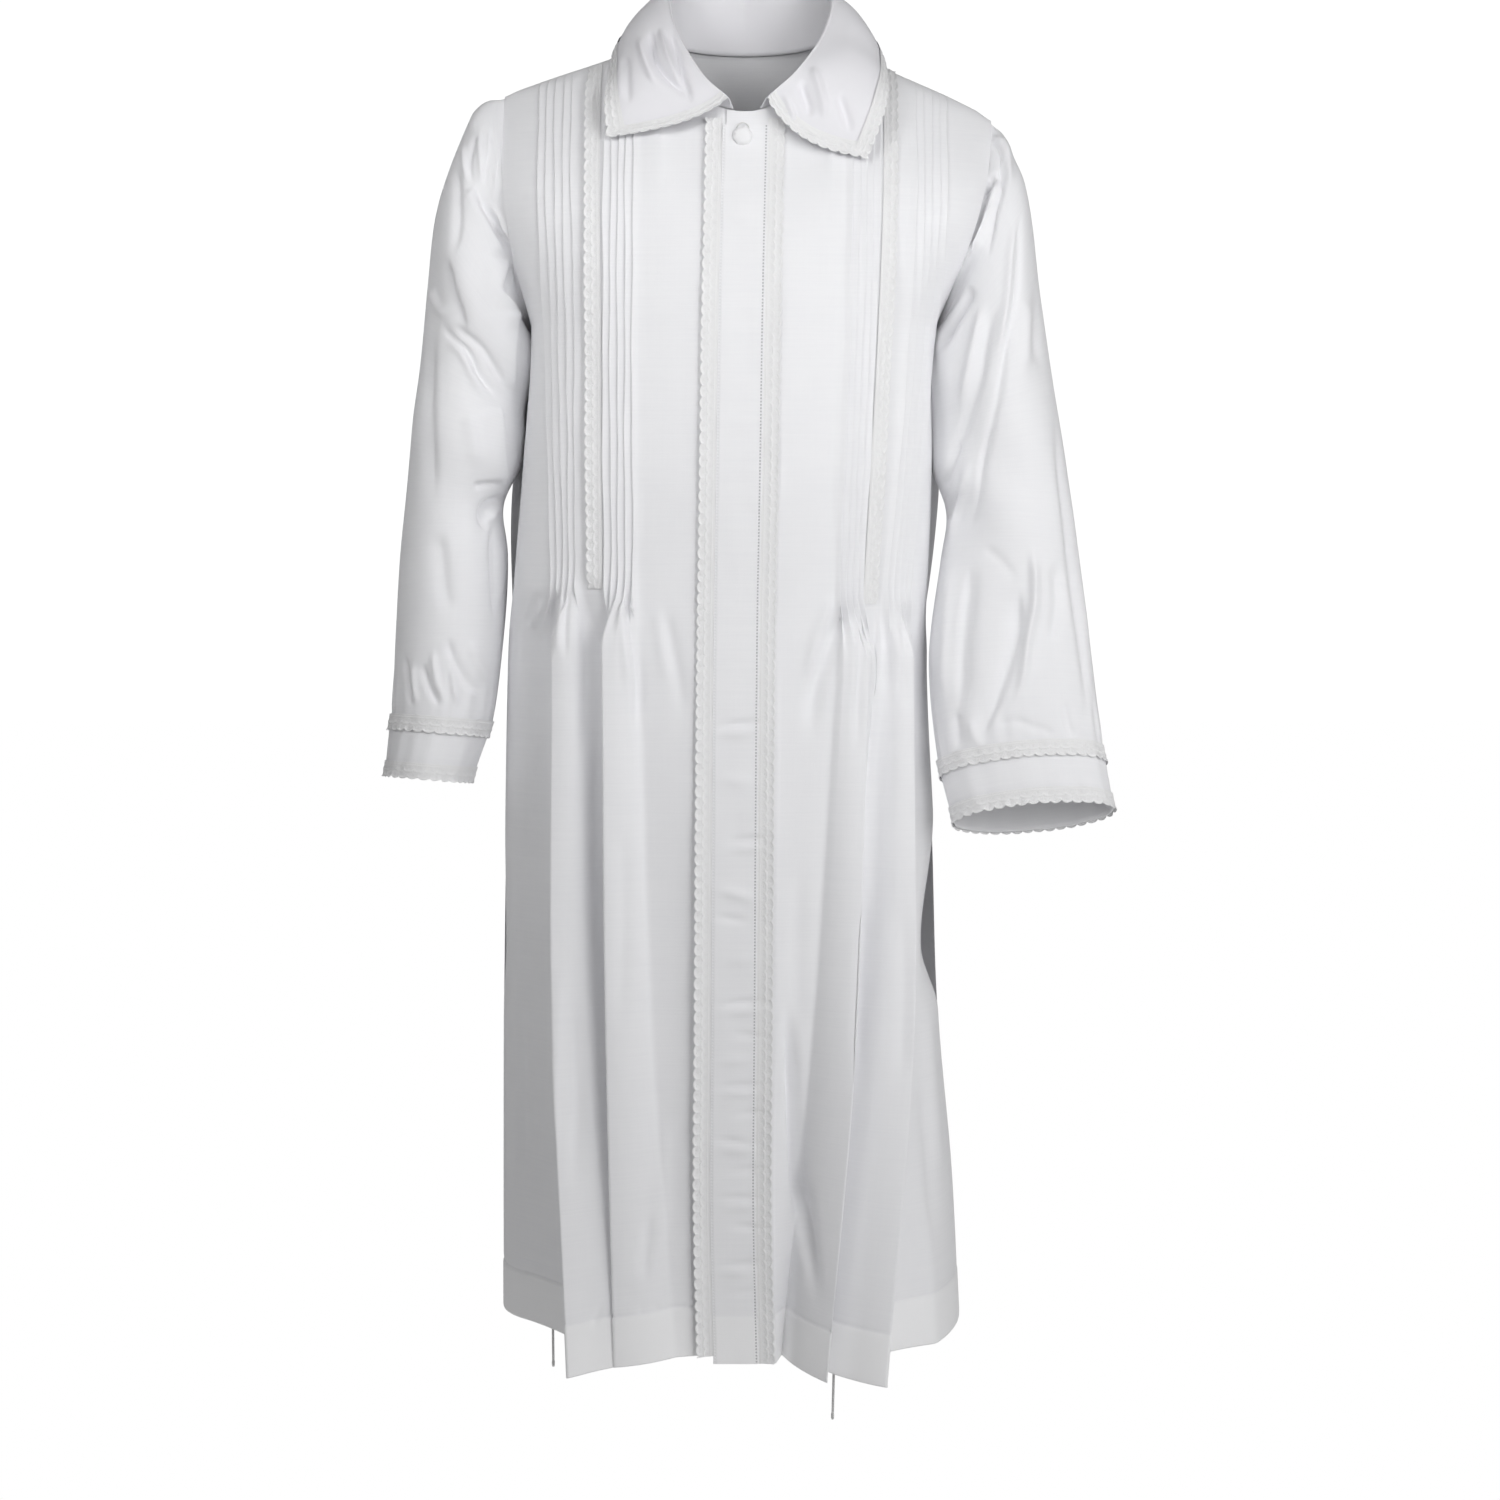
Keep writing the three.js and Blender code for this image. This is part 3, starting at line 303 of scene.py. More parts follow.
def finish_piece(piece, material, nodes, solid=0.0):
    bpy.context.scene.collection.objects.link(piece)
    piece.data.materials.append(material)
    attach(piece, "root")
    if nodes:
        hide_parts(*nodes)
    if solid:
        shell = piece.modifiers.new("cloth thickness", "SOLIDIFY")
        shell.thickness = abs(solid) * MM
        shell.offset = math.copysign(1.0, solid)
        shell.use_even_offset = False
    return piece


# ---- Creases ----
# The lines were picked by eye on the photograph, and a scratch script turned their places into millimetres.
# All rows but the last of front_left are that script's output as it came. Widths, rises and sharpness were
# chosen.
# Each row: line of places (x, z) seen from the front, half widths on its left and right, rise, sharpness.
CREASES = {
    "right": [
        ([(-243, -65), (-249, -81), (-251, -95), (-248, -113)], 3.5, 3, -1.6, 2),
        ([(-244, -56), (-242, -81), (-240, -117)], 3, 3, 1.3, 2),
        ([(-235, -56), (-234, -81), (-236, -99), (-238, -119)], 3, 3, -1.5, 2),
        ([(-225, -51), (-226, -90), (-229, -130)], 4, 4, 1.5, 2),
        ([(-258, -73), (-256, -93), (-252, -112)], 4, 3, 1.2, 2),
        ([(-251, -112), (-246, -121), (-240, -131), (-233, -142), (-224, -158), (-217, -170),
          (-211, -182), (-208, -198), (-205, -222)], 4, 7, -5.5, 1.5),
        ([(-238, -126), (-229, -137), (-219, -151), (-211, -165), (-206, -177)], 5, 4, 3, 2),
        ([(-214, -184), (-218, -198), (-221, -213)], 4, 4, -3, 2),
        ([(-265, -90), (-260, -126), (-261, -158), (-267, -180)], 7, 5, -1.8, 2),
        ([(-274, -178), (-269, -207), (-262, -227), (-254, -247)], 8, 6, -3, 2),
        ([(-292, -202), (-283, -221), (-270, -232)], 7, 6, 1.8, 2),
        ([(-281, -236), (-268, -251), (-253, -265), (-242, -286), (-224, -308)], 4, 4, -2.8, 1.5),
        ([(-273, -237), (-255, -249), (-239, -262), (-225, -286), (-216, -305)], 5, 5, -2.2, 2),
        ([(-275, -247), (-259, -264), (-248, -287), (-232, -309)], 6, 5, 1.8, 2),
        ([(-289, -236), (-289, -289), (-288, -334), (-286, -371), (-286, -408)], 12, 7, -1.8, 2),
        ([(-252, -316), (-248, -344), (-245, -371)], 10, 10, 1.6, 2),
        ([(-251, -387), (-240, -384), (-223, -382)], 4, 4, -1.8, 2),
        ([(-223, -397), (-229, -399), (-236, -401), (-241, -406), (-243, -413),
          (-240, -428)], 4, 5, -3.6, 1.5),
        ([(-225, -406), (-233, -410), (-236, -421)], 4, 4, 2, 2),
        ([(-282, -426), (-278, -453), (-275, -479), (-269, -507)], 12, 9, -2, 2),
        ([(-234, -417), (-234, -454), (-233, -483), (-232, -514)], 3, 3.5, -2.4, 1.5),
        ([(-226, -435), (-226, -472), (-230, -501)], 4, 4, 1.8, 2),
        ([(-220, -523), (-224, -548), (-232, -573), (-238, -588)], 5, 4, -2, 2),
        ([(-315, -541), (-311, -568), (-306, -588)], 4, 4, -1.6, 2),
        ([(-306, -547), (-304, -573), (-301, -588)], 4, 4, 1.3, 2),
        ([(-298, -548), (-289, -570), (-280, -588)], 5, 4, -2, 2),
        ([(-287, -534), (-283, -563), (-275, -587)], 5, 4, 1.6, 2),
        ([(-274, -523), (-267, -545), (-256, -565), (-243, -579)], 5, 5, -2.2, 2),
        ([(-270, -552), (-268, -572), (-264, -589)], 3, 3, 1.2, 2),
        ([(-253, -527), (-246, -549), (-238, -567)], 6, 5, 1.4, 2),
    ],
    "left": [
        ([(223, -64), (230, -71), (235, -82), (236, -104), (234, -119), (229, -136), (224, -159),
          (220, -186)], 5, 3, -3, 1.5),
        ([(228, -62), (239, -73), (242, -95), (242, -117)], 4, 5, 2, 2),
        ([(219, -81), (215, -95), (213, -110)], 3, 3, -1.4, 2),
        ([(233, -98), (229, -107), (223, -115), (220, -124), (216, -135), (212, -148), (205, -161),
          (197, -172), (192, -183)], 7, 4, -5.5, 1.5),
        ([(225, -130), (220, -148), (213, -164), (204, -178)], 5, 5, 3, 2),
        ([(256, -129), (252, -142), (249, -164), (247, -187), (245, -209), (242, -231), (237, -258),
          (233, -285), (229, -312), (223, -340), (218, -360), (212, -399), (205, -442)], 4, 6, -2.6, 1.5),
        ([(247, -142), (242, -173), (239, -209), (234, -245), (227, -281)], 6, 4, 1.8, 2),
        ([(207, -202), (201, -217), (192, -231), (184, -246), (178, -264)], 5, 7, -5, 1.7),
        ([(217, -218), (209, -254), (202, -290), (195, -319)], 6, 6, 2.8, 2),
        ([(231, -221), (223, -237), (218, -258), (214, -285), (208, -308), (200, -335), (190, -357),
          (182, -373)], 6, 6, -3, 2),
        ([(271, -199), (268, -234), (266, -257), (273, -285)], 9, 7, -1.8, 2),
        ([(257, -216), (256, -253), (252, -289)], 8, 8, 1.6, 2),
        ([(198, -344), (189, -369), (181, -395)], 5, 5, -2.6, 2),
        ([(199, -386), (189, -410), (181, -443)], 5, 5, -2.6, 2),
        ([(176, -399), (184, -410), (189, -419)], 4, 4, -3, 2),
        ([(206, -362), (199, -388), (193, -417), (188, -444)], 5, 5, 2.2, 2),
        ([(209, -453), (204, -489), (199, -535), (197, -601)], 6, 12, -3, 2),
        ([(250, -478), (251, -516), (242, -551), (232, -578), (220, -606), (212, -618)], 12, 4, -4, 1.6),
        ([(218, -440), (233, -453), (249, -473)], 7, 6, -0.9, 2),
        ([(262, -435), (264, -489), (258, -525), (252, -565), (242, -591)], 5, 7, 3.2, 2),
        ([(192, -453), (187, -499), (184, -544), (184, -592)], 7, 6, 2.2, 2),
        ([(285, -453), (287, -495), (280, -535)], 9, 9, -2.4, 2),
        ([(286, -312), (289, -355), (296, -417), (303, -481), (311, -537), (315, -583),
          (317, -623)], 6, 5, -2.2, 2),
        ([(300, -371), (308, -435), (315, -500), (322, -556)], 5, 5, 1.4, 2),
        ([(230, -604), (237, -602), (247, -599), (259, -603), (272, -612)], 5, 5, -0.9, 1.8),
        ([(262, -604), (272, -606), (283, -614)], 5, 5, -0.6, 2),
        ([(194, -591), (196, -611), (197, -628)], 4, 5, -0.9, 2),
        ([(207, -598), (211, -615), (219, -624)], 5, 5, 0.6, 2),
        ([(293, -580), (297, -603), (305, -619)], 5, 5, -1.4, 2),
    ],
    "front_right": [
        ([(-105, -470), (-104, -493), (-102, -516), (-98, -538), (-96, -561),
          (-98, -615)], 4, 5, -2.6, 1.7),
        ([(-111, -475), (-110, -506), (-107, -541), (-105, -577)], 5, 4, 1.6, 2),
        ([(-72, -493), (-65, -532), (-58, -568), (-55, -599)], 6, 7, -1.6, 2),
        ([(-80, -488), (-76, -523), (-69, -568)], 6, 6, 1, 2),
        ([(-173, -482), (-176, -511), (-179, -546)], 3, 4, -2, 2),
        ([(-158, -478), (-162, -504), (-162, -545)], 3, 3, -2, 1.7),
        ([(-165, -480), (-168, -512), (-170, -539)], 3, 3, 1.4, 2),
        ([(-144, -479), (-144, -525), (-144, -579), (-146, -643)], 6, 6, -1.8, 2),
        ([(-183, -490), (-190, -501), (-199, -519)], 5, 5, 1.8, 2),
        ([(-190, -481), (-195, -497), (-205, -517)], 5, 5, -1.4, 2),
        ([(-153, -846), (-151, -937), (-155, -1029)], 8, 8, -2, 2),
        ([(-86, -1043), (-89, -1075), (-92, -1106)], 7, 6, -1.8, 2),
        ([(-73, -955), (-75, -1011), (-77, -1087)], 9, 9, 1.4, 2),
        ([(-193, -582), (-196, -657), (-200, -731)], 9, 9, 2.2, 2),
        ([(-110, -684), (-109, -784), (-113, -884)], 9, 9, -1.4, 2),
        ([(-166, -810), (-171, -901), (-178, -1012)], 10, 8, 1.6, 2),
        ([(-209, -870), (-210, -955), (-214, -1059)], 9, 9, -2.2, 2),
        ([(-138, -1143), (-133, -1134), (-127, -1128)], 3, 3, -1.2, 2),
        ([(-121, -1112), (-108, -1113), (-94, -1116)], 3, 3, -1, 2),
        ([(-99, -1132), (-86, -1129), (-74, -1128)], 3, 3, -0.9, 2),
    ],
    "front_left": [
        ([(89, -488), (74, -532), (63, -568), (57, -615)], 7, 8, -3.6, 2),
        ([(81, -479), (65, -523), (55, -568)], 6, 6, 2, 2),
        ([(110, -495), (105, -533), (102, -578), (101, -632)], 5, 6, -2.2, 2),
        ([(123, -494), (127, -524), (129, -578)], 5, 5, -1.8, 2),
        ([(118, -495), (118, -542), (116, -596)], 4, 4, 1.4, 2),
        ([(143, -489), (146, -534), (146, -598)], 5, 5, -2, 2),
        ([(155, -453), (158, -499), (156, -545)], 4, 5, 1.6, 2),
        ([(49, -720), (47, -811), (49, -903)], 10, 10, -1.2, 2),
        ([(110, -755), (105, -846), (102, -937)], 8, 8, -1.6, 2),
        ([(145, -759), (145, -850), (141, -943)], 9, 9, -2, 2),
        ([(172, -872), (180, -957), (188, -1053)], 8, 8, 2, 2),
        ([(167, -936), (173, -1012), (178, -1098)], 7, 7, -2.2, 2),
        ([(57, -1009), (61, -1065), (61, -1120)], 8, 7, -1.8, 2),
        ([(38, -850), (40, -920), (43, -980), (47, -1030), (56, -1080), (68, -1130)], 3.5, 9, -8, 2),
    ],
}


def smooth_line(line, count=24):
    """Points of a smooth curve through a short line of places."""
    p = np.asarray(line, float)
    if len(p) == 2:
        return mix(p[0], p[1], np.linspace(0, 1, count)[:, None])
    at = lengths_along(p)
    return curve(at, p, np.linspace(0, at[-1], count))


def crease_rise(x, z, table, taper=(0.22, 0.3), sharp=1.0):
    """How far the creases lift the cloth at places (x, z)."""
    total = np.zeros(x.shape)
    for line, left, right, rise, power in table:
        p = smooth_line(line)
        near = np.full(x.shape, 1e9)
        side = np.zeros(x.shape)
        along = np.zeros(x.shape)
        reach = 4 * max(left, right)
        hit = (x > p[:, 0].min() - reach) & (x < p[:, 0].max() + reach)
        hit &= (z > p[:, 1].min() - reach) & (z < p[:, 1].max() + reach)
        if not hit.any():
            continue
        px, pz = x[hit], z[hit]
        best, turn, place = near[hit], side[hit], along[hit]
        for k in range(len(p) - 1):
            d = p[k + 1] - p[k]
            t = np.clip(((px - p[k, 0]) * d[0] + (pz - p[k, 1]) * d[1]) / max(d @ d, 1e-9), 0, 1)
            vx, vz = px - p[k, 0] - t * d[0], pz - p[k, 1] - t * d[1]
            distance = np.hypot(vx, vz)
            closer = distance < best
            best = np.where(closer, distance, best)
            turn = np.where(closer, vx, turn)
            place = np.where(closer, (k + t) / (len(p) - 1), place)
        width = sharp * np.where(turn < 0, left, right)
        ends = ease(place / taper[0]) * ease((1 - place) / taper[1])
        total[hit] += rise * np.exp(-((best / width) ** power)) * ends
    return total


def waves(x, z, seeds, size, amount):
    """Slow uneven swells of the cloth: a few plane waves with fixed directions."""
    total = np.zeros(np.broadcast(x, z).shape)
    for k in range(seeds[1]):
        angle = 2.399963 * (k + seeds[0])
        length = size * (0.7 + 0.6 * ((k * 0.618 + seeds[0] * 0.37) % 1))
        across = x * math.cos(angle) + z * math.sin(angle)
        total += np.sin(across * 2 * math.pi / length + 1.7 * k + seeds[0])
    return total * amount / math.sqrt(seeds[1])


# ---- Materials ----
def new_material(name, color, roughness, sheen=0.0):
    material = bpy.data.materials.new(name)
    material.use_nodes = True
    tree = material.node_tree
    shader = tree.nodes["Principled BSDF"]
    shader.inputs["Base Color"].default_value = (*color, 1.0)
    shader.inputs["Roughness"].default_value = roughness
    shader.inputs["Specular IOR Level"].default_value = 0.25
    shader.inputs["Sheen Weight"].default_value = sheen
    shader.inputs["Sheen Roughness"].default_value = 0.5
    return material, tree, shader


def maths(tree, operation, a, b=None):
    made = tree.nodes.new("ShaderNodeMath")
    made.operation = operation
    for k, value in enumerate((a, b)):
        if value is None:
            continue
        if isinstance(value, (int, float)):
            made.inputs[k].default_value = value
        else:
            tree.links.new(value, made.inputs[k])
    return made.outputs[0]


def stretched(tree, coordinates, size):
    mapping = tree.nodes.new("ShaderNodeMapping")
    mapping.inputs["Scale"].default_value = size
    tree.links.new(coordinates, mapping.inputs["Vector"])
    return mapping.outputs["Vector"]


def noise(tree, vector, detail=2.0, roughness=0.5):
    made = tree.nodes.new("ShaderNodeTexNoise")
    made.inputs["Scale"].default_value = 1.0
    made.inputs["Detail"].default_value = detail
    made.inputs["Roughness"].default_value = roughness
    tree.links.new(vector, made.inputs["Vector"])
    return made.outputs["Fac"]


def bump(tree, height, strength, distance, before=None):
    made = tree.nodes.new("ShaderNodeBump")
    made.inputs["Strength"].default_value = strength
    made.inputs["Distance"].default_value = distance
    tree.links.new(height, made.inputs["Height"])
    if before is not None:
        tree.links.new(before, made.inputs["Normal"])
    return made.outputs["Normal"]


def blend_color(tree, factor, a, b):
    made = tree.nodes.new("ShaderNodeMix")
    made.data_type = "RGBA"
    tree.links.new(factor, made.inputs[0])
    for key, value in ((6, a), (7, b)):
        if isinstance(value, tuple):
            made.inputs[key].default_value = (*value, 1.0)
        else:
            tree.links.new(value, made.inputs[key])
    return made.outputs[2]


THREAD_PITCH = (0.00052, 0.0006)  # of the weave across and along, in metres


def cloth_material(name, color, deeper, slub=1.0):
    """Plain weave: crossed threads, thick and thin weft lines, and faint cloudiness."""
    material, tree, shader = new_material(name, color, 0.82, 0.12)
    uv = tree.nodes.new("ShaderNodeTexCoord").outputs["UV"]
    weft = noise(tree, stretched(tree, uv, (14.0, 620.0, 1.0)), 3.0, 0.6)
    warp = noise(tree, stretched(tree, uv, (700.0, 18.0, 1.0)), 2.0, 0.5)
    cloud = noise(tree, stretched(tree, uv, (22.0, 22.0, 1.0)), 3.0, 0.55)
    separate = tree.nodes.new("ShaderNodeSeparateXYZ")
    tree.links.new(uv, separate.inputs[0])
    thread_u, thread_v = (
        maths(tree, "SINE", maths(tree, "MULTIPLY", separate.outputs[k], 2 * math.pi / THREAD_PITCH[k]))
        for k in range(2))
    threads = maths(tree, "MULTIPLY", thread_u, thread_v)
    lines = maths(tree, "ADD", maths(tree, "MULTIPLY", weft, 1.0 * slub), maths(tree, "MULTIPLY", warp, 0.35))
    shade = maths(tree, "ADD", maths(tree, "MULTIPLY", lines, 0.75), maths(tree, "MULTIPLY", cloud, 0.35))
    ramp = tree.nodes.new("ShaderNodeMapRange")
    ramp.inputs["From Min"].default_value = 0.55
    ramp.inputs["From Max"].default_value = 0.95
    tree.links.new(shade, ramp.inputs["Value"])
    # Where the cloth lies double at a turned hem it looks whiter.
    double = tree.nodes.new("ShaderNodeAttribute")
    double.attribute_name = "hem_double_and_lace_shade"
    single = blend_color(tree, ramp.outputs[0], color, deeper)
    both = blend_color(tree, maths(tree, "MULTIPLY", double.outputs["Fac"], 0.7), single, (0.97, 0.97, 0.975))
    tree.links.new(both, shader.inputs["Base Color"])
    normal = bump(tree, lines, 0.22, 0.00035)
    normal = bump(tree, threads, 0.16, 0.00008, normal)
    tree.links.new(normal, shader.inputs["Normal"])
    return material


WHITE, WHITE_DEEP = (0.905, 0.906, 0.922), (0.872, 0.873, 0.895)
cloth = cloth_material("white cloth", WHITE, WHITE_DEEP)
# The collar is the white cloth painted a little darker: painted shade.
collar_cloth_in_painted_shade = cloth_material("collar cloth in painted shade", (0.86, 0.855, 0.885), (0.83, 0.825, 0.86), 0.5)


# The rows of holes along the placket, in metres of its UV map.
HEM_STITCH = {"middle": 0.0217, "line": 0.0190, "pitch": 0.0029, "hole": 0.001, "band": 0.0016}


def placket_material():
    """The same cloth with a row of drawn-thread holes and wrapped threads along each edge; the holes are
    painted shade.
    """
    material = cloth.copy()
    material.name = "placket cloth with painted hole shade"
    tree = material.node_tree
    shader = tree.nodes["Principled BSDF"]
    uv = tree.nodes.new("ShaderNodeTexCoord").outputs["UV"]
    separate = tree.nodes.new("ShaderNodeSeparateXYZ")
    tree.links.new(uv, separate.inputs[0])
    across, along = separate.outputs[0], separate.outputs[1]
    from_middle = maths(tree, "ABSOLUTE", maths(tree, "SUBTRACT", across, HEM_STITCH["middle"]))
    off_line = maths(tree, "SUBTRACT", from_middle, HEM_STITCH["line"])
    beat = maths(tree, "FRACT", maths(tree, "DIVIDE", along, HEM_STITCH["pitch"]))
    step = maths(tree, "MULTIPLY", maths(tree, "SUBTRACT", beat, 0.5), HEM_STITCH["pitch"])
    off_squared, step_squared = (maths(tree, "POWER", value, 2.0) for value in (off_line, step))
    reach = maths(tree, "SQRT", maths(tree, "ADD", off_squared, step_squared))
    hole = maths(tree, "SUBTRACT", 1.0, maths(tree, "DIVIDE", reach, HEM_STITCH["hole"]))
    hole = maths(tree, "MAXIMUM", hole, 0.0)
    # The holes' painted shade is strong on the wearer's left and faint on the right.
    left = maths(tree, "GREATER_THAN", across, HEM_STITCH["middle"])
    share = maths(tree, "ADD", maths(tree, "MULTIPLY", left, 0.6), 0.15)
    hole_shade_and_depth = maths(tree, "MULTIPLY", maths(tree, "MINIMUM", maths(tree, "MULTIPLY", hole, 3.0), 1.0), share)
    far = maths(tree, "DIVIDE", maths(tree, "ABSOLUTE", off_line), HEM_STITCH["band"])
    band = maths(tree, "MAXIMUM", maths(tree, "SUBTRACT", 1.0, far), 0.0)
    old_color = shader.inputs["Base Color"].links[0].from_socket
    # Painted shade: the holes are coloured grey for the shadow seen through them.
    tree.links.new(blend_color(tree, hole_shade_and_depth, old_color, (0.5, 0.5, 0.52)), shader.inputs["Base Color"])
    height = maths(tree, "SUBTRACT", maths(tree, "MULTIPLY", band, 0.5), maths(tree, "MULTIPLY", hole_shade_and_depth, 1.6))
    old_normal = shader.inputs["Normal"].links[0].from_socket
    tree.links.new(bump(tree, height, 0.9, 0.0006, old_normal), shader.inputs["Normal"])
    return material


placket_cloth_with_hole_shade = placket_material()


# Painted shade: the colour of the lace's holes and open net.
LACE_HOLE_SHADE = (0.84, 0.84, 0.845)


def lace_material():
    """Off-white thread: fine twisted loops over the modelled ridges and eyelets, painted darker in the
    grooves and holes as painted shade.
    """
    material, tree, shader = new_material("lace thread with painted shade", (0.9, 0.9, 0.905), 0.85, 0.1)
    uv = tree.nodes.new("ShaderNodeTexCoord").outputs["UV"]
    loops = tree.nodes.new("ShaderNodeTexVoronoi")
    loops.feature = "DISTANCE_TO_EDGE"
    loops.inputs["Scale"].default_value = 1.0
    tree.links.new(stretched(tree, uv, (1100.0, 1100.0, 1.0)), loops.inputs["Vector"])
    edge = maths(tree, "MINIMUM", maths(tree, "MULTIPLY", loops.outputs["Distance"], 4.0), 1.0)
    twist = noise(tree, stretched(tree, uv, (900.0, 2400.0, 1.0)), 2.0)
    height = maths(tree, "ADD", edge, maths(tree, "MULTIPLY", twist, 0.5))
    low = maths(tree, "SUBTRACT", 1.0, edge)
    hem_double_and_lace_shade = tree.nodes.new("ShaderNodeAttribute")
    hem_double_and_lace_shade.attribute_name = "hem_double_and_lace_shade"
    # Painted shade: the thread is a little darker in the grooves between its loops.
    thread_with_groove_shade = blend_color(tree, low, (0.935, 0.934, 0.938), (0.895, 0.895, 0.9))
    tree.links.new(blend_color(tree, hem_double_and_lace_shade.outputs["Fac"], LACE_HOLE_SHADE, thread_with_groove_shade), shader.inputs["Base Color"])
    tree.links.new(bump(tree, height, 0.5, 0.0003), shader.inputs["Normal"])
    return material


lace = lace_material()


CORD_LAY = 0.0022  # height of one turn of the cord's plies, in metres


def cord_material():
    material, tree, shader = new_material("cord thread with painted groove shade", (0.89, 0.885, 0.87), 0.85, 0.1)
    uv = tree.nodes.new("ShaderNodeTexCoord").outputs["Object"]
    separate = tree.nodes.new("ShaderNodeSeparateXYZ")
    tree.links.new(uv, separate.inputs[0])
    slant = maths(tree, "ADD", separate.outputs[2], maths(tree, "MULTIPLY", separate.outputs[0], 1.4))
    turn = maths(tree, "MULTIPLY", slant, 2 * math.pi / CORD_LAY)
    ply_height_and_groove_shade = maths(tree, "ABSOLUTE", maths(tree, "SINE", turn))
    # Painted shade: the cord is darker in the grooves between its plies.
    tree.links.new(blend_color(tree, ply_height_and_groove_shade, (0.7, 0.7, 0.69), (0.9, 0.9, 0.89)), shader.inputs["Base Color"])
    tree.links.new(bump(tree, ply_height_and_groove_shade, 0.7, 0.0005), shader.inputs["Normal"])
    return material


string = cord_material()


def button_material():
    material, tree, shader = new_material("button cover", (0.915, 0.915, 0.925), 0.55, 0.05)
    uv = tree.nodes.new("ShaderNodeTexCoord").outputs["Object"]
    fine = noise(tree, stretched(tree, uv, (300.0, 300.0, 2200.0)), 2.0)
    tint = blend_color(tree, fine, (0.93, 0.93, 0.94), (0.89, 0.89, 0.905))
    tree.links.new(tint, shader.inputs["Base Color"])
    tree.links.new(bump(tree, fine, 0.15, 0.0003), shader.inputs["Normal"])
    return material


covered = button_material()


# ---- Tie cords: sewn inside the fronts at the waist, hanging free below the hem ----
CORD_SEAT = {side: 0.5 * (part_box("tie_cord_" + side)[0][1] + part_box("tie_cord_" + side)[1][1]) / MM
             for side in ("right", "left")}


def tie_cord(side):
    x, y, end, sway = CORDS[side]
    top = TUCK_END[side]
    seat = CORD_SEAT[side]
    t = np.arange(31) / 30
    z = mix(top, end, t)
    route = np.stack([x + sway * t ** 3, mix(seat, y, ease((top - z) / 40)), z], 1) * MM
    line = bpy.data.curves.new("tie_cord_" + side + "_line", "CURVE")
    line.dimensions = "3D"
    line.bevel_depth = CORD_RADIUS * 0.92 * MM
    line.bevel_resolution = 4
    line.use_fill_caps = True
    spline = line.splines.new("POLY")
    spline.points.add(len(route) - 1)
    for point, place in zip(spline.points, route):
        point.co = (*place, 1.0)
    spline.use_smooth = True
    cord = bpy.data.objects.new("tie_cord_%s_string" % side, line)
    finish_piece(cord, string, ["tie_cord_" + side])
    # The cut end is dipped and a little thicker.
    tip = bpy.data.meshes.new("tip")
    around = 12
    ring = np.linspace(0, 2 * np.pi, around, endpoint=False)
    profile = [(0.3, 0.0), (1.25, -0.3), (1.5, -1.6), (1.45, -4.5), (1.1, -6.2), (0.3, -6.6)]
    verts = [(r * math.cos(a), r * math.sin(a), h + 6.0) for r, h in profile for a in ring]
    faces = [(k * around + i, k * around + (i + 1) % around,
              (k + 1) * around + (i + 1) % around, (k + 1) * around + i)
             for k in range(len(profile) - 1) for i in range(around)]
    last = around * len(profile) - 1
    faces += [tuple(range(around)), tuple(range(last, last - around, -1))]
    tip.from_pydata([(route[-1][0] + v[0] * MM, route[-1][1] + v[1] * MM, route[-1][2] + v[2] * MM)
                     for v in verts], [], faces)
    tip.polygons.foreach_set("use_smooth", [True] * len(faces))
    end_piece = bpy.data.objects.new("tie_cord_%s_tip" % side, tip)
    finish_piece(end_piece, string, [])


# ---- Front panels ----
MIDDLE, PLAIN, INNER, BETWEEN, OUTER, SIDE = range(6)
# One tuck across: place from its root (0) to its free edge (1) and on underneath, and how high it lies.
TUCK_PROFILE = [(-.02, .15), (.12, .3), (.28, .6), (.44, 1.0), (.6, 1.4), (.76, 1.8), (.9, 2.15), (.985, 2.3),
                (1.025, 2.1), (1.03, 1.6), (1.0, 1.15), (.965, .75), (.94, .45), (.95, .2)]


def front_columns():
    """Columns of a front: kind, place, rise and tuck number."""
    rows = []
    for a in np.linspace(-OVERLAP, FRONT_START, 16):
        rows.append((MIDDLE, a, 0.0, 0))
    for a in np.linspace(0, 1, 20)[1:-1]:
        rows.append((PLAIN, a, 0.0, 0))
    for kind in (INNER, OUTER):
        for k in range(TUCKS_IN_BLOCK):
            rows += [(kind, k + a, h, k) for a, h in TUCK_PROFILE]
        if kind == INNER:
            rows += [(BETWEEN, a, 0.15 * (1 - a), 0) for a in np.linspace(0.02, 0.94, 9)]
    rows += [(SIDE, a, 0.0, 0) for a in np.linspace(0.03, 1, 26)]
    return np.array(rows)


PLEAT_SINK, PLEAT_RISE = {"right": 15.0, "left": 8.0}, {"right": 9.0, "left": 3.0}
FOLD_SOFT = 1.3  # how far the skirt's fold edges are rounded, in millimetres


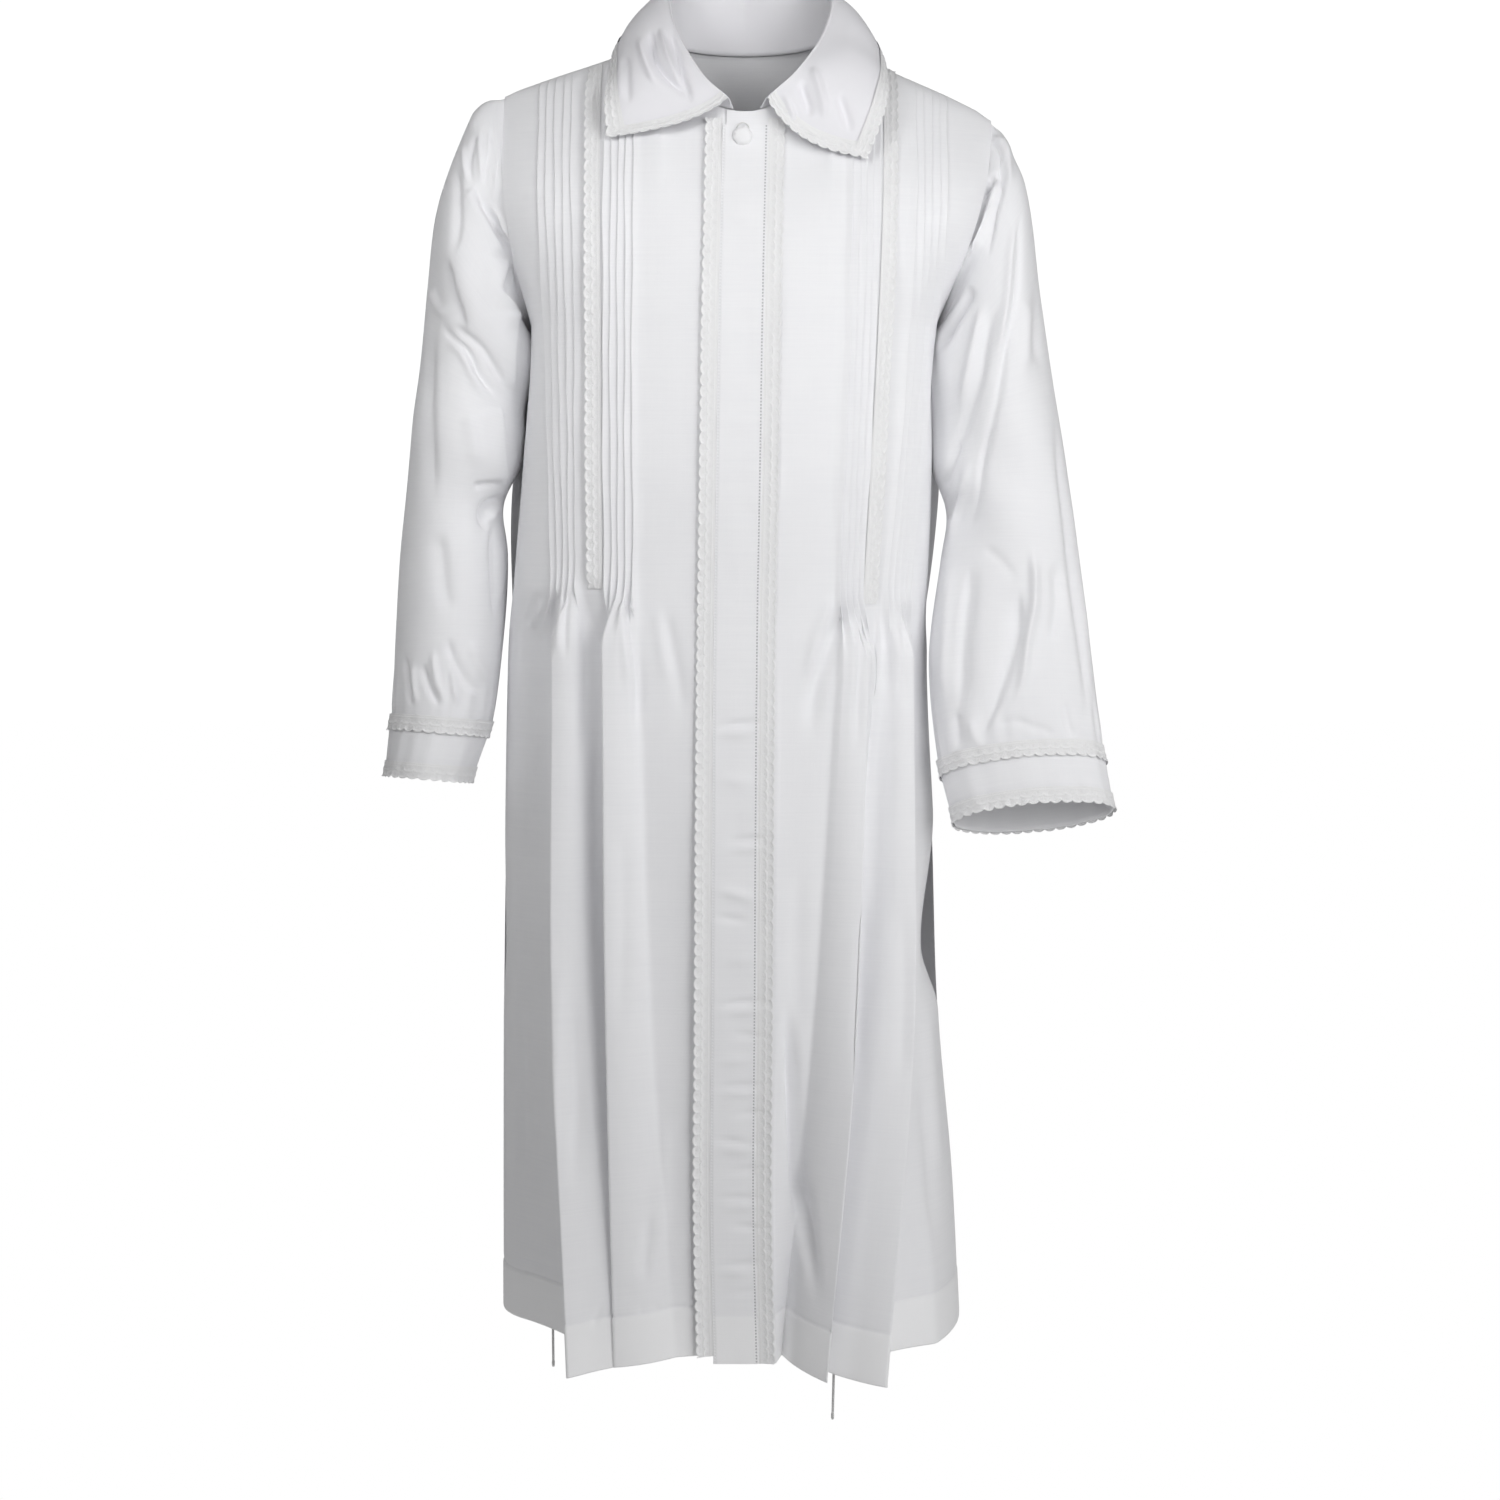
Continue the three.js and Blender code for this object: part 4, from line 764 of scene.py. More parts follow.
def skirt_sections(side, z, places):
    """Plan points of a front's skirt at heights z, at places along its softly rounded folds."""
    q = quarter(side, "front", z)
    start_x = q[1] + FRONT_START
    opened = slit_open(side, z)
    points = [np.stack([start_x, depth_at(q, start_x)], 1)]
    for name in FOLD_NAMES[1:-1]:
        x, y, _ = FOLDS[side][name]
        points.append(np.stack([curve(FOLD_Z, x, z), curve(FOLD_Z, y, z)], 1))
    points.append(np.stack([q[4] - SLIT_IN * opened, SLIT_FORWARD * opened], 1))
    share = np.linspace(0, 1, 41)[:-1]
    pieces, at = [], []
    for k in range(7):
        a, b = points[k][:, None], points[k + 1][:, None]
        flat = opened[:, None] if k == 6 else 0.0
        swell = FOLD_SWELL[k] * 4 * share * (1 - share) * (1 - flat) * np.ones((len(z), 1))
        if k == 3:
            # The cloth between the two pleats sinks in near the waist and comes forward towards the hem.
            depth = PLEAT_SINK[side] * ease((z + 1000) / 330) - PLEAT_RISE[side] * ease((-z - 930) / 180)
            swell = swell - bell(share - 0.3, 0.26) * depth[:, None]
        length = np.linalg.norm(b - a, axis=2)
        out = np.stack([a[..., 1] - b[..., 1], b[..., 0] - a[..., 0]], -1) / length[..., None]
        pieces.append(mix(a, b, share[None, :, None]) + out * swell[..., None])
        at.append(k + share)
    path = np.concatenate(pieces + [points[-1][:, None]], axis=1)
    at = np.concatenate(at + [[7.0]])
    result = np.zeros((len(z), len(places), 2))
    step, sigma = 0.8, FOLD_SOFT
    kernel = np.exp(-0.5 * (np.arange(-10, 11) * step / sigma) ** 2)
    kernel /= kernel.sum()
    for i in range(len(z)):
        arc = lengths_along(path[i])
        even = np.linspace(0, arc[-1], int(arc[-1] / step) + 2)
        wanted = np.interp(places, at, arc)
        for axis in range(2):
            line = np.interp(even, arc, path[i, :, axis])
            padded = np.concatenate([2 * line[0] - line[10:0:-1], line, 2 * line[-1] - line[-2:-12:-1]])
            result[i, :, axis] = np.interp(wanted, even, np.convolve(padded, kernel, "valid"))
    return result, at, path


# Places along the folds (0 start, 1 plain, 2 edge1 ... 7 seam) where each kind of column begins and ends.
FOLD_SPANS = {
    PLAIN: (0.0, 1.0), INNER: (1.0, 3.0), BETWEEN: (3.0, 3.14), OUTER: (3.14, 5.7), SIDE: (5.7, 7.0)}


def fold_places(side, columns):
    """Places along the folds for the columns, evenly spread over the cloth of a section halfway down."""
    _, at, path = skirt_sections(side, np.array([-880.0]), np.array([0.0, 7.0]))
    arc = lengths_along(path[0])
    places = np.zeros(len(columns))
    for kind, (start, end) in FOLD_SPANS.items():
        members = np.where(columns[:, 0] == kind)[0]
        a, b = np.interp([start, end], at, arc)
        last = kind == SIDE
        share = np.arange(1, len(members) + 1) / (len(members) if last else len(members) + 0.5)
        places[members] = np.interp(mix(a, b, share), arc, at)
    return places


def fade_lengths(columns):
    """How far below the waist each tuck's crease still shows: longest at the innermost tuck."""
    length = np.full(len(columns), 14.0)
    inner, outer = columns[:, 0] == INNER, columns[:, 0] == OUTER
    length[inner] = np.array([84.0, 40.0, 24.0, 34.0, 46.0])[columns[inner, 3].astype(int)]
    length[outer] = np.array([34.0, 20.0, 38.0, 20.0, 40.0])[columns[outer, 3].astype(int)]
    return length


def upper_front(side, columns, z):
    """x, y and outward normal (x, y) of the tucked front at heights z (rows, columns)."""
    kind, a = columns[:, 0][None], columns[:, 1][None]
    value = {name: curve(TUCK_Z, TUCKS[side][name], z)
             for name in ("innerFrom", "innerTo", "outerFrom", "outerTo")}
    middle = SIGN[side] * section("middle", z)
    n = TUCKS_IN_BLOCK
    x = np.select(
        [kind == MIDDLE, kind == PLAIN, kind == INNER, kind == BETWEEN],
        [middle + a, mix(middle + FRONT_START, value["innerFrom"], a),
         mix(value["innerFrom"], value["innerTo"], a / n), mix(value["innerTo"], value["outerFrom"], a)],
        mix(value["outerFrom"], value["outerTo"], a / n))
    number = columns[:, 3][None]
    block = (kind == INNER) | (kind == OUTER)
    wander = 0.45 * np.sin(z / 41.0 + 2.1 * number + kind) + 0.35 * np.sin(z / 17.0 + 4.7 * number + 2 * kind)
    x = x + np.where(block, wander * ease((z - TUCK_END[side]) / 30), 0.0)
    y = torso_y(side, "front", x, z)
    slope = (torso_y(side, "front", x + 0.5, z) - torso_y(side, "front", x - 0.5, z))
    along = np.stack([np.ones_like(x), slope], -1)
    side_kind = kind == SIDE
    if side_kind.any():
        start = value["outerTo"] + 1.0
        share = np.clip(a, 0, 1) * np.ones_like(x)
        sx, sy = torso_side(side, "front", start, share, z)
        tx, ty = torso_side(side, "front", start, np.minimum(share + 0.01, 1.0), z)
        ux, uy = torso_side(side, "front", start, np.maximum(share - 0.01, 0.0), z)
        pick = np.broadcast_to(side_kind, x.shape)
        x, y = np.where(pick, sx, x), np.where(pick, sy, y)
        along = np.where(pick[..., None], np.stack([tx - ux, ty - uy], -1), along)
    along = unit(along)
    return x, y, along[..., 1], -along[..., 0]


def top_heights(side, face, place):
    """Height of the top edge over each column, found from where the column meets that edge."""
    z = np.zeros((1, place(np.zeros((1, 1))).shape[1]))
    for _ in range(5):
        z = top_edge(side, face, place(z))[1]
    return z[0]


TOP_STEPS = np.array([0, 1.5, 4, 8, 13, 19, 26, 33, 40, 47, 54, 61, 68, 75, 82, 89, 96, 103, 110, 117,
                      124, 131, 138, 145, 152, 159, 166, 173, 180, 186])
HEM_ROWS = np.array([60, 54, 50, 47.5, 46, 44.5, 42, 36, 30, 24, 18, 12, 7, 3, 1, 0.0])


def panel_heights(tops, hem):
    """Heights (rows, columns): they follow the top edge at first and are level lower down."""
    upper = tops + (-18.0 - tops) * ease(TOP_STEPS / 192)[:, None] - TOP_STEPS[:, None]
    level = np.concatenate([[-208, -213, -218, -223, -228, -233, -238], np.linspace(-244, -466, 38),
                            np.linspace(-470, -560, 31)])
    level = np.repeat(level[:, None], len(tops), axis=1)
    skirt = mix(-566.0, hem[None] + 67.0, np.linspace(0, 1, 84)[:, None])
    low = hem[None] + HEM_ROWS[:, None]
    return np.concatenate([upper, level, skirt, low])


# Height, slant, half width, rise, middle and reach of each. 18 of the 29 heights came from the photograph
# in the same way as the places of CREASES.
PUCKERS = [
    (-118, .3, 5, -.5, -12, 10), (-150, -.2, 8, .5, 4, 14), (-240, .1, 7, -.35, 0, 16),
    (-330, -.1, 9, .4, -6, 16), (-410, .1, 6, -.3, 4, 14), (-599, .12, 2.6, -1.0, -6, 15),
    (-607, .1, 5, .8, -4, 16), (-650, -.1, 6, .6, -8, 14), (-703, .1, 2.6, -.9, 2, 14),
    (-712, .06, 3, .8, 4, 14), (-753, -.2, 5, .9, -6, 15), (-775, -.1, 3, -.8, -12, 12),
    (-812, .1, 6, .5, 0, 16), (-851, .08, 2.6, -1.0, -4, 16), (-859, .1, 4, .9, 0, 16),
    (-881, -.1, 3, -.7, 4, 12), (-904, .1, 4, .7, -8, 14), (-927, .05, 2.5, -.9, -4, 16),
    (-934, 0, 4, .7, -2, 15), (-952, .12, 3, -.6, 4, 13), (-978, -.1, 2.6, -.8, -10, 13),
    (-986, 0, 4, .7, -6, 14), (-1004, .1, 3, -.7, 2, 14), (-1030, 0, 2.6, -.8, -6, 15),
    (-1038, .1, 4, .7, 0, 14), (-1057, -.1, 3, -.7, 4, 13), (-1091, .08, 2.8, -.8, -4, 16),
    (-1099, 0, 4, .6, -6, 14), (-1117, .1, 3, -.6, 0, 14),
]


def pucker(x, z):
    """Cross puckers that the seams and the lace draw into the closing, and faint ones above it."""
    total = np.zeros(np.broadcast(x, z).shape)
    for at, tilt, width, rise, center, reach in PUCKERS:
        total += rise * bell(z - at - tilt * (x - center), width) * bell(x - center, reach)
    return total


def hem_lift(above_hem):
    """The stitch line of the turned hem is pressed in, and the doubled cloth below it stands out."""
    return -0.7 * bell(above_hem - HEM_DEPTH, 1.6) + 0.5 * ease((HEM_DEPTH - above_hem) / 2.0)


def turn_up_hem(points, z, outward):
    """Points and heights with the lowest rows once more, turned up inside."""
    rows = slice(-2, -12, -1)
    turned = points[rows] - outward[rows] * HEM_GAP
    return np.concatenate([points, turned]), np.concatenate([z, z[rows]])


def front_panel(side):
    columns = front_columns()
    kinds = columns[:, 0]
    places = fold_places(side, columns)
    tops = top_heights(side, "front", lambda z: upper_front(side, columns, np.repeat(z, len(columns), axis=1)
                                                             if z.shape[1] == 1 else z)[0])
    hem = np.full(len(columns), HEM[side])
    z = panel_heights(tops, hem)
    x, y, normal_x, normal_y = upper_front(side, columns, z)
    down = ease((TUCK_END[side] + 6 - z) / 58)
    low_rows = np.where(z[:, 0] < TUCK_END[side] + 8)[0]
    sections, _, _ = skirt_sections(side, z[low_rows, -1], places)
    below = kinds != MIDDLE
    mixed_x, mixed_y = x.copy(), y.copy()
    mixed_x[low_rows] = np.where(below, mix(x[low_rows], sections[..., 0], down[low_rows]), x[low_rows])
    mixed_y[low_rows] = np.where(below, mix(y[low_rows], -sections[..., 1], down[low_rows]), y[low_rows])
    x, y = mixed_x, mixed_y
    # Tucks stand on the cloth as far as the waist, and their creases die away below it.
    rise = columns[:, 2][None] * ease((tops[None] - z) / 8)
    rise = rise * np.exp(-np.clip(TUCK_END[side] - z, 0, None) / fade_lengths(columns)[None])
    tucked = np.where((kinds == INNER) | (kinds == OUTER), 1.0, 0.0)[None]
    release = bell(z - (TUCK_END[side] - 10), 22.0) * tucked
    rise = rise * (1 + 1.5 * release)
    x, y = x + normal_x * rise, y + normal_y * rise
    if side == "right":
        y = y + UNDERLAP * np.where(kinds == MIDDLE, ease((21.0 - columns[:, 1]) / 7), 0)[None]
    drops = [0] + [FOLDS[side][name][2] for name in FOLD_NAMES[1:-1]] + [0]
    drop = np.where(below, np.interp(places, np.arange(8), drops), 0)[None]
    z_low = z - drop * ease((-860 - z) / 320)
    points = np.stack([SIGN[side] * x, y, z_low], -1)
    normals = grid_normals(points)
    if side == "left":
        normals = -normals
    # Creases and soft swells; they fade out at the seams.
    facing = ease((-normals[..., 1] - 0.1) / 0.5)
    quiet = np.where(below, ease((7.0 - places) / 0.35), 1.0)[None] * ease((tops[None] - z) / 60)
    px, pz = points[..., 0], points[..., 2]
    lift = 1.5 * crease_rise(px, pz, CREASES["front_" + side], sharp=0.85) * facing
    away = np.where(kinds == MIDDLE, 0.25, 1.0)[None]
    lift += waves(px, pz * 0.22, (3 if side == "right" else 8, 6), 85.0, 0.75) * away * ease((-480 - z) / 120)
    plain = np.where(kinds == PLAIN, 1.0, 0.35)[None]
    lift += waves(px, pz * 0.5, (5, 5), 140.0, 0.5) * away * ease((z + 470) / 60) * plain
    lift = lift * quiet + pucker(px, pz) * np.where(kinds == MIDDLE, 0.6, 0.0)[None]
    lift += hem_lift(z - HEM[side])
    points = points + normals * lift[..., None]
    points, v = turn_up_hem(points, z, grid_normals(points) * (1 if side == "right" else -1))
    u = np.concatenate([[0.0], np.cumsum(np.linalg.norm(np.diff(points, axis=1), axis=2).mean(axis=0))])
    piece = grid_object("front_%s_cloth" % side, points, cloth, ["front_" + side], u=u, v=v)
    paint(piece, ease((HEM[side] + HEM_DEPTH - v) / 2.0) * (v > HEM[side] - 1))


# ---- Back panel: a plain back that falls in soft folds from the waist (not seen in the photograph) ----
BACK_FOLDS = [(-150, 20, 15), (-88, 26, 12), (-22, 22, 9), (52, 26, 12), (118, 20, 14)]
BACK_CREASES = [
    ([(-196, -250), (-160, -262), (-120, -286)], 6, 7, -2.2, 2),
    ([(-200, -285), (-168, -306), (-140, -340)], 7, 8, -1.8, 2),
    ([(172, -252), (140, -270), (104, -292)], 6, 7, -2.2, 2),
    ([(170, -296), (146, -322), (126, -356)], 7, 8, -1.8, 2),
    ([(-170, -60), (-176, -110), (-168, -170)], 9, 8, -2, 2),
    ([(176, -80), (180, -130), (166, -186)], 9, 8, -2, 2),
    ([(-70, -34), (-30, -44), (30, -44), (72, -36)], 8, 8, 1.2, 2),
    ([(-206, -470), (-150, -486), (-90, -482)], 8, 9, -2, 2),
    ([(-60, -500), (10, -492), (90, -503)], 8, 9, -1.8, 2),
    ([(166, -474), (120, -494), (70, -486)], 8, 9, -2, 2),
    ([(-118, -520), (-124, -620), (-119, -760)], 7, 10, -3, 2),
    ([(-60, -540), (-56, -660), (-58, -820)], 9, 8, -2.4, 2),
    ([(20, -530), (16, -640), (22, -780)], 8, 10, -2.8, 2),
    ([(86, -520), (90, -630), (84, -800)], 9, 8, -2.4, 2),
    ([(150, -540), (146, -640), (152, -760)], 7, 8, -2.4, 2),
    ([(-184, -600), (-190, -760), (-186, -960)], 10, 9, -2.2, 2),
]


def back_panel():
    half = 92
    share = np.concatenate([np.linspace(1, 0, half), np.linspace(0, 1, half)[1:]])
    sides = ["right"] * half + ["left"] * (half - 1)
    is_left = np.array([s == "left" for s in sides])

    def place(z):
        right, left = (torso_side(s, "back", SIGN[s] * section("middle", z), share[None], z)
                       for s in ("right", "left"))
        x = np.where(is_left[None], left[0], -right[0])
        return x, np.where(is_left[None], left[1], right[1])

    tops = np.zeros(len(share))
    for _ in range(5):
        x = place(np.repeat(tops[None], 1, axis=0))[0][0]
        tops = np.where(is_left, top_edge("left", "back", x)[1], top_edge("right", "back", x)[1])
    across = np.where(is_left, share, -share)
    hem = mix(HEM["right"], HEM["left"], ease((across + 0.5) / 1.0))
    z = panel_heights(tops, hem)
    x, y = place(z)
    rest = np.where(z < UNDERARM, np.sin(np.pi * np.minimum(1, (1 - share) * 1.6) / 2)[None], 0.0)
    grow = ease((-520 - z) / 640)
    fold = sum(depth * bell(x - at, width) for at, width, depth in BACK_FOLDS) - 6
    y = y + grow * fold * rest
    # Under the arms the back stands out a little past the side seams.
    out = bell(share - 0.86, 0.09)[None] * bell(z + 385, 115.0)
    x = x + np.where(is_left, 14.0, -17.0)[None] * out
    points = np.stack([x, y, z], -1)
    normals = grid_normals(points)
    quiet = ease((1 - share) / 0.12)[None] * ease((tops[None] - z) / 60)
    way = np.sign(normals[60, half, 1])
    facing = ease((normals[..., 1] * way - 0.05) / 0.5)
    outward = normals * way
    lift = crease_rise(x, z, BACK_CREASES) * facing
    lift += waves(x, z * 0.25, (11, 6), 95.0, 1.0) * ease((-470 - z) / 160)
    lift += waves(x, z * 0.6, (13, 5), 150.0, 0.8) * ease((z + 470) / 60)
    lift = lift * quiet
    lift += hem_lift(z - hem[None])
    points = points + outward * lift[..., None]
    points, v = turn_up_hem(points, z, grid_normals(points) * way)
    piece = grid_object("back_cloth", points, cloth, ["back"], v=v)
    paint(piece, ease((hem[None] + HEM_DEPTH - v) / 2.0))


# ---- Lace ----
LACE_PERIOD, SCALLOP = 10.2, 3.3
SHOULDER_GAP = 7.5  # from the shoulder seam to the tuck lace
TUCK_LACE_WIDTH, COLLAR_LACE_WIDTH = LACE_WIDTH - 1.9, 14.0


def lace_shape(share, along, width, period):
    """Place across, height and painted shade of a fish-scale lace.

    share is 0 at its straight border and 1 at its scallops."""
    phase = along / period
    near = phase - np.round(phase)
    half = phase + 0.5 - np.round(phase + 0.5)
    bulge = 1 - np.sqrt(np.clip(1 - (1.96 * near) ** 2, 0, 1))
    warped = share * mix(1.0, 1 - SCALLOP / width * bulge, ease((share - 0.35) / 0.6))
    s = share * width
    inner_arc = 0.57 * width - 3.4 * (1 - np.sqrt(np.clip(1 - (1.9 * half) ** 2, 0, 1)))
    ridge = np.maximum.reduce([
        0.62 * bell(s - (width - 0.8), 0.75),
        0.55 * bell(s - inner_arc, 0.8),
        0.3 * bell(s - 0.5, 0.5), 0.32 * bell(s - 2.5, 0.55)])
    outer = np.hypot(s - 0.775 * width, near * period)
    inner = np.hypot(s - 0.36 * width, half * period)
    rays_outer = np.cos(9 * np.arctan2(near * period, s - 0.775 * width + 1e-6)) * bell(outer - 2.4, 1.0)
    rays_inner = np.cos(9 * np.arctan2(half * period, s - 0.36 * width + 1e-6)) * bell(inner - 2.2, 1.0)
    eyelets = bell(outer, 1.05) + bell(inner, 0.95)
    ladder = np.cos(2 * np.pi * along / 1.55) * bell(s - 1.5, 0.8)
    height = 0.35 + ridge + 0.16 * (rays_outer + rays_inner) + 0.1 * ladder - 0.3 * eyelets
    # Painted shade: darkest in the eyelets and the net, the thread's own colour on the ridges.
    hem_double_and_lace_shade = np.clip(0.55 - 0.4 * eyelets + 0.9 * ridge + 0.2 * (rays_outer + rays_inner), 0, 1)
    return warped, height, hem_double_and_lace_shade


def lace_piece(name, node_name, base, length, width, lift, outward, closed=False, step=0.78,
               stand=lambda along: 0.8):
    """Lace over base(share across, share along), in millimetres.

    Its scallops stand off the cloth by stand(along)."""
    beats = max(1, round(length / LACE_PERIOD)) if closed else length / LACE_PERIOD
    true_period = length / beats
    m, n = int(length / step), int(width / 0.66) + 1
    along = np.linspace(0, 1, m, endpoint=not closed)[:, None] * np.ones((1, n))
    share = np.linspace(0, 1, n)[None] * np.ones((m, 1))
    warped, height, hem_double_and_lace_shade = lace_shape(share, along * length, width, true_period)
    points = base(warped, along)
    plain = base(share, along)
    if closed:
        wide = np.concatenate([plain[-1:], plain, plain[:1]])
        normals = grid_normals(wide)[1:-1]
    else:
        normals = grid_normals(plain)
    normals = normals * np.sign((normals * outward(plain)).sum(-1, keepdims=True) + 1e-9)
    points = points + normals * (lift + height + stand(along) * share ** 1.6)[..., None]
    if closed:
        points, hem_double_and_lace_shade = points.transpose(1, 0, 2), hem_double_and_lace_shade.T
    v = -(share.T * width if closed else np.zeros_like(share))
    if closed:
        u = np.linspace(0, length, m + 1)
    else:
        u, v = np.linspace(0, width, n), -along * length
    piece = grid_object(name, points, lace, [node_name], closed=closed, u=u, v=v)
    paint(piece, hem_double_and_lace_shade)


def paint(piece, hem_double_and_lace_shade):
    layer = piece.data.color_attributes.new("hem_double_and_lace_shade", "FLOAT_COLOR", "POINT")
    value = hem_double_and_lace_shade.reshape(-1)
    layer.data.foreach_set("color", np.stack([value, value, value, np.ones_like(value)], -1).reshape(-1))


def to_front(points):
    return np.broadcast_to(np.array([0.0, -1.0, 0.0]), points.shape)


def placket_lace(side):
    start = PLACKET_HALF - 0.1
    bottom = HEM[side]
    top = -58.0

    def base(share, along):
        z = mix(top, bottom, along)
        x = SIGN[side] * section("middle", z) + start + LACE_WIDTH * share
        y = torso_y(side, "front", x, z)
        px = SIGN[side] * x
        return np.stack([px, y - 1.5 * pucker(px, z) - 0.5 * lace_ruffle(px, z), z], -1)

    def stand(along):
        low = ease((along - 0.4) / 0.25)
        lean = 2.6 + 4.2 * low if side == "right" else 0.5 + 1.8 * low
        return lean + 0.7 * np.sin(along * 41) * np.sin(along * 17)

    lace_piece("placket_lace_%s_strip" % side, "placket_lace_" + side, base, top - bottom, LACE_WIDTH,
               0.55, to_front, stand=stand)


def lace_ruffle(x, z):
    """The lace stands a little uneven on the cloth."""
    return 0.35 * np.sin(z / 7.3 + x * 0.1) * np.sin(z / 23.0 + 1.0) + 0.25


def tuck_lace(side):
    bottom = TUCK_END[side]

    def base(share, along):
        middle = curve(TUCK_Z, TUCKS[side]["lace"], bottom + 0 * share)
        x = middle - LACE_WIDTH / 2 + 1.6 + TUCK_LACE_WIDTH * share
        top = top_edge(side, "front", x)[1] - SHOULDER_GAP
        z = mix(top, bottom, along)
        x = x - middle + curve(TUCK_Z, TUCKS[side]["lace"], z)
        y = torso_y(side, "front", x, z)
        return np.stack([SIGN[side] * x, y - 0.4 * lace_ruffle(SIGN[side] * x, z), z], -1)

    length = top_edge(side, "front", np.array(130.0))[1] - SHOULDER_GAP - bottom
    height = 4.4 if side == "right" else 1.2

    def stand(along):
        return (height + 0.6 * np.sin(along * 19)) * ease(along / 0.06) * ease((1 - along) / 0.03)

    lace_piece("tuck_lace_%s_strip" % side, "tuck_lace_" + side, base, float(length), TUCK_LACE_WIDTH,
               0.5, to_front, stand=stand)


# ---- Placket and button ----
def placket():
    flat = np.linspace(-19.6, 19.6, 40)
    across = np.concatenate([[-20.75, -20.65, -20.3], flat, [20.3, 20.65, 20.75]])
    height = np.concatenate([[0.35, 1.1, 1.6], np.full(40, 1.75), [1.6, 1.1, 0.35]])
    tops = top_edge("left", "front", across)[1] - 15
    z = mix(tops[None], HEM["left"], np.linspace(0, 1, 420)[:, None])
    x = section("middle", z) + across[None]
    y = torso_y("left", "front", np.maximum(x, section("middle", z)), z)
    groove = 0.2 * bell(np.abs(across) - 19.2, 0.9)[None]
    slack = 0.25 * waves(x * 1.4, z, (21, 5), 60.0, 1.0) * bell(across, 16)[None]
    lift = height[None] - groove + 2.6 * pucker(x, z) + slack
    lift += -0.35 * bell(z - HEM["left"] - HEM_DEPTH, 1.4)
    piece = grid_object("placket_band", np.stack([x, y - lift, z], -1), placket_cloth_with_hole_shade, ["placket"],
                        v=z)
    paint(piece, ease((HEM["left"] + HEM_DEPTH - z) / 2.0))


def button():
    low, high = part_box("button")
    center_x, center_z = (low[0] + high[0]) / 2, (low[2] + high[2]) / 2
    base_y = high[1]
    radius, height = (high[0] - low[0]) / 2, high[1] - low[1]
    rings, around = 26, 72
    profile = np.concatenate([np.linspace(0, 1, rings), [1.0, 0.96, 0.86]])
    dome = 0.36 + 0.64 * np.sqrt(np.clip(1 - np.linspace(0, 1, rings) ** 2.4, 0, 1))
    deep = np.concatenate([dome, [0.2, 0.06, 0.02]])
    angle = np.linspace(0, 2 * np.pi, around, endpoint=False)
    gathers = 0.02 * np.cos(14 * angle + 0.6 * np.sin(3 * angle))[None] * bell(profile - 1, 0.22)[:, None]
    rim = 1 + gathers
    x = center_x + radius * profile[:, None] * rim * np.cos(angle)
    z = center_z + radius * profile[:, None] * rim * np.sin(angle)
    y = base_y - height * (deep[:, None] + gathers * 1.5) * 0.97 + 0 * angle
    grid_object("button_cover", np.stack([x, y, z], -1), covered, ["button"],
                closed=True, scale=1.0)
    # Loose stitches of the loop that holds it.
    thread = bpy.data.curves.new("button_loop_line", "CURVE")
    thread.dimensions = "3D"
    thread.bevel_depth = 0.45 * MM
    thread.bevel_resolution = 3
    thread.use_fill_caps = True
    spline = thread.splines.new("BEZIER")
    places = [(-5.5, 0.4, 7.5), (-3.2, -0.7, 10.6), (0.5, -1.0, 11.8), (4.2, -0.7, 10.4), (6.0, 0.4, 7.2)]
    spline.bezier_points.add(len(places) - 1)
    for point, (dx, dy, dz) in zip(spline.bezier_points, places):
        point.co = (center_x + dx * MM, base_y + (dy - 0.9) * MM, center_z + dz * MM)
        point.handle_left_type = point.handle_right_type = "AUTO"
    loop = bpy.data.objects.new("button_loop", thread)
    finish_piece(loop, string, [])


# ---- Sleeves and cuffs ----
SLEEVE_FILL = {"right": 12.5, "left": 16.0}  # cloth pressed against the side of the chest


def ring_value(side, name, ring):
    table = [row[RING_NAMES.index(name)] for row in RINGS[side]]
    inside = curve(np.arange(1, len(table) + 1), table, np.clip(ring, 1, CUFF_TOP))
    beyond = mix(table[CUFF_TOP - 1], table[CUFF_TOP], ring - CUFF_TOP)
    return np.where(ring > CUFF_TOP, beyond, inside)


def sleeve_rise(side, ring, turn):
    total = np.zeros(np.broadcast(ring, turn).shape)
    for r0, t0, r1, t1, width, rise in SLEEVE_FOLDS[side]:
        a, b = np.array([r0, t0 * TURN_LENGTH]), np.array([r1, t1 * TURN_LENGTH])
        d = b - a
        along = np.clip(((ring - a[0]) * d[0] + (turn * TURN_LENGTH - a[1]) * d[1]) / (d @ d), 0, 1)
        away = np.hypot(ring - a[0] - along * d[0], turn * TURN_LENGTH - a[1] - along * d[1])
        total = total + rise * bell(away, width)
    return total


def armhole_point(side, turn, tuck_in=0.9):
    angle = 2 * np.pi * turn
    tip_z = SHOULDER[side][1]
    z = mix(tip_z, UNDERARM, (1 - np.cos(angle)) / 2)
    front = torso_side(side, "front", 0.0, 1.0, z)
    back = torso_side(side, "back", 0.0, 1.0, z)
    x, y = np.where(turn <= 0.5, front[0], back[0]), np.where(turn <= 0.5, front[1], back[1])
    center = np.array([y.mean(), (tip_z + UNDERARM) / 2])
    inward = unit(np.stack([center[0] - y, center[1] - z], -1))
    return np.stack([SIGN[side] * (x - 1.6), y + tuck_in * inward[..., 0], z + tuck_in * inward[..., 1]], -1)


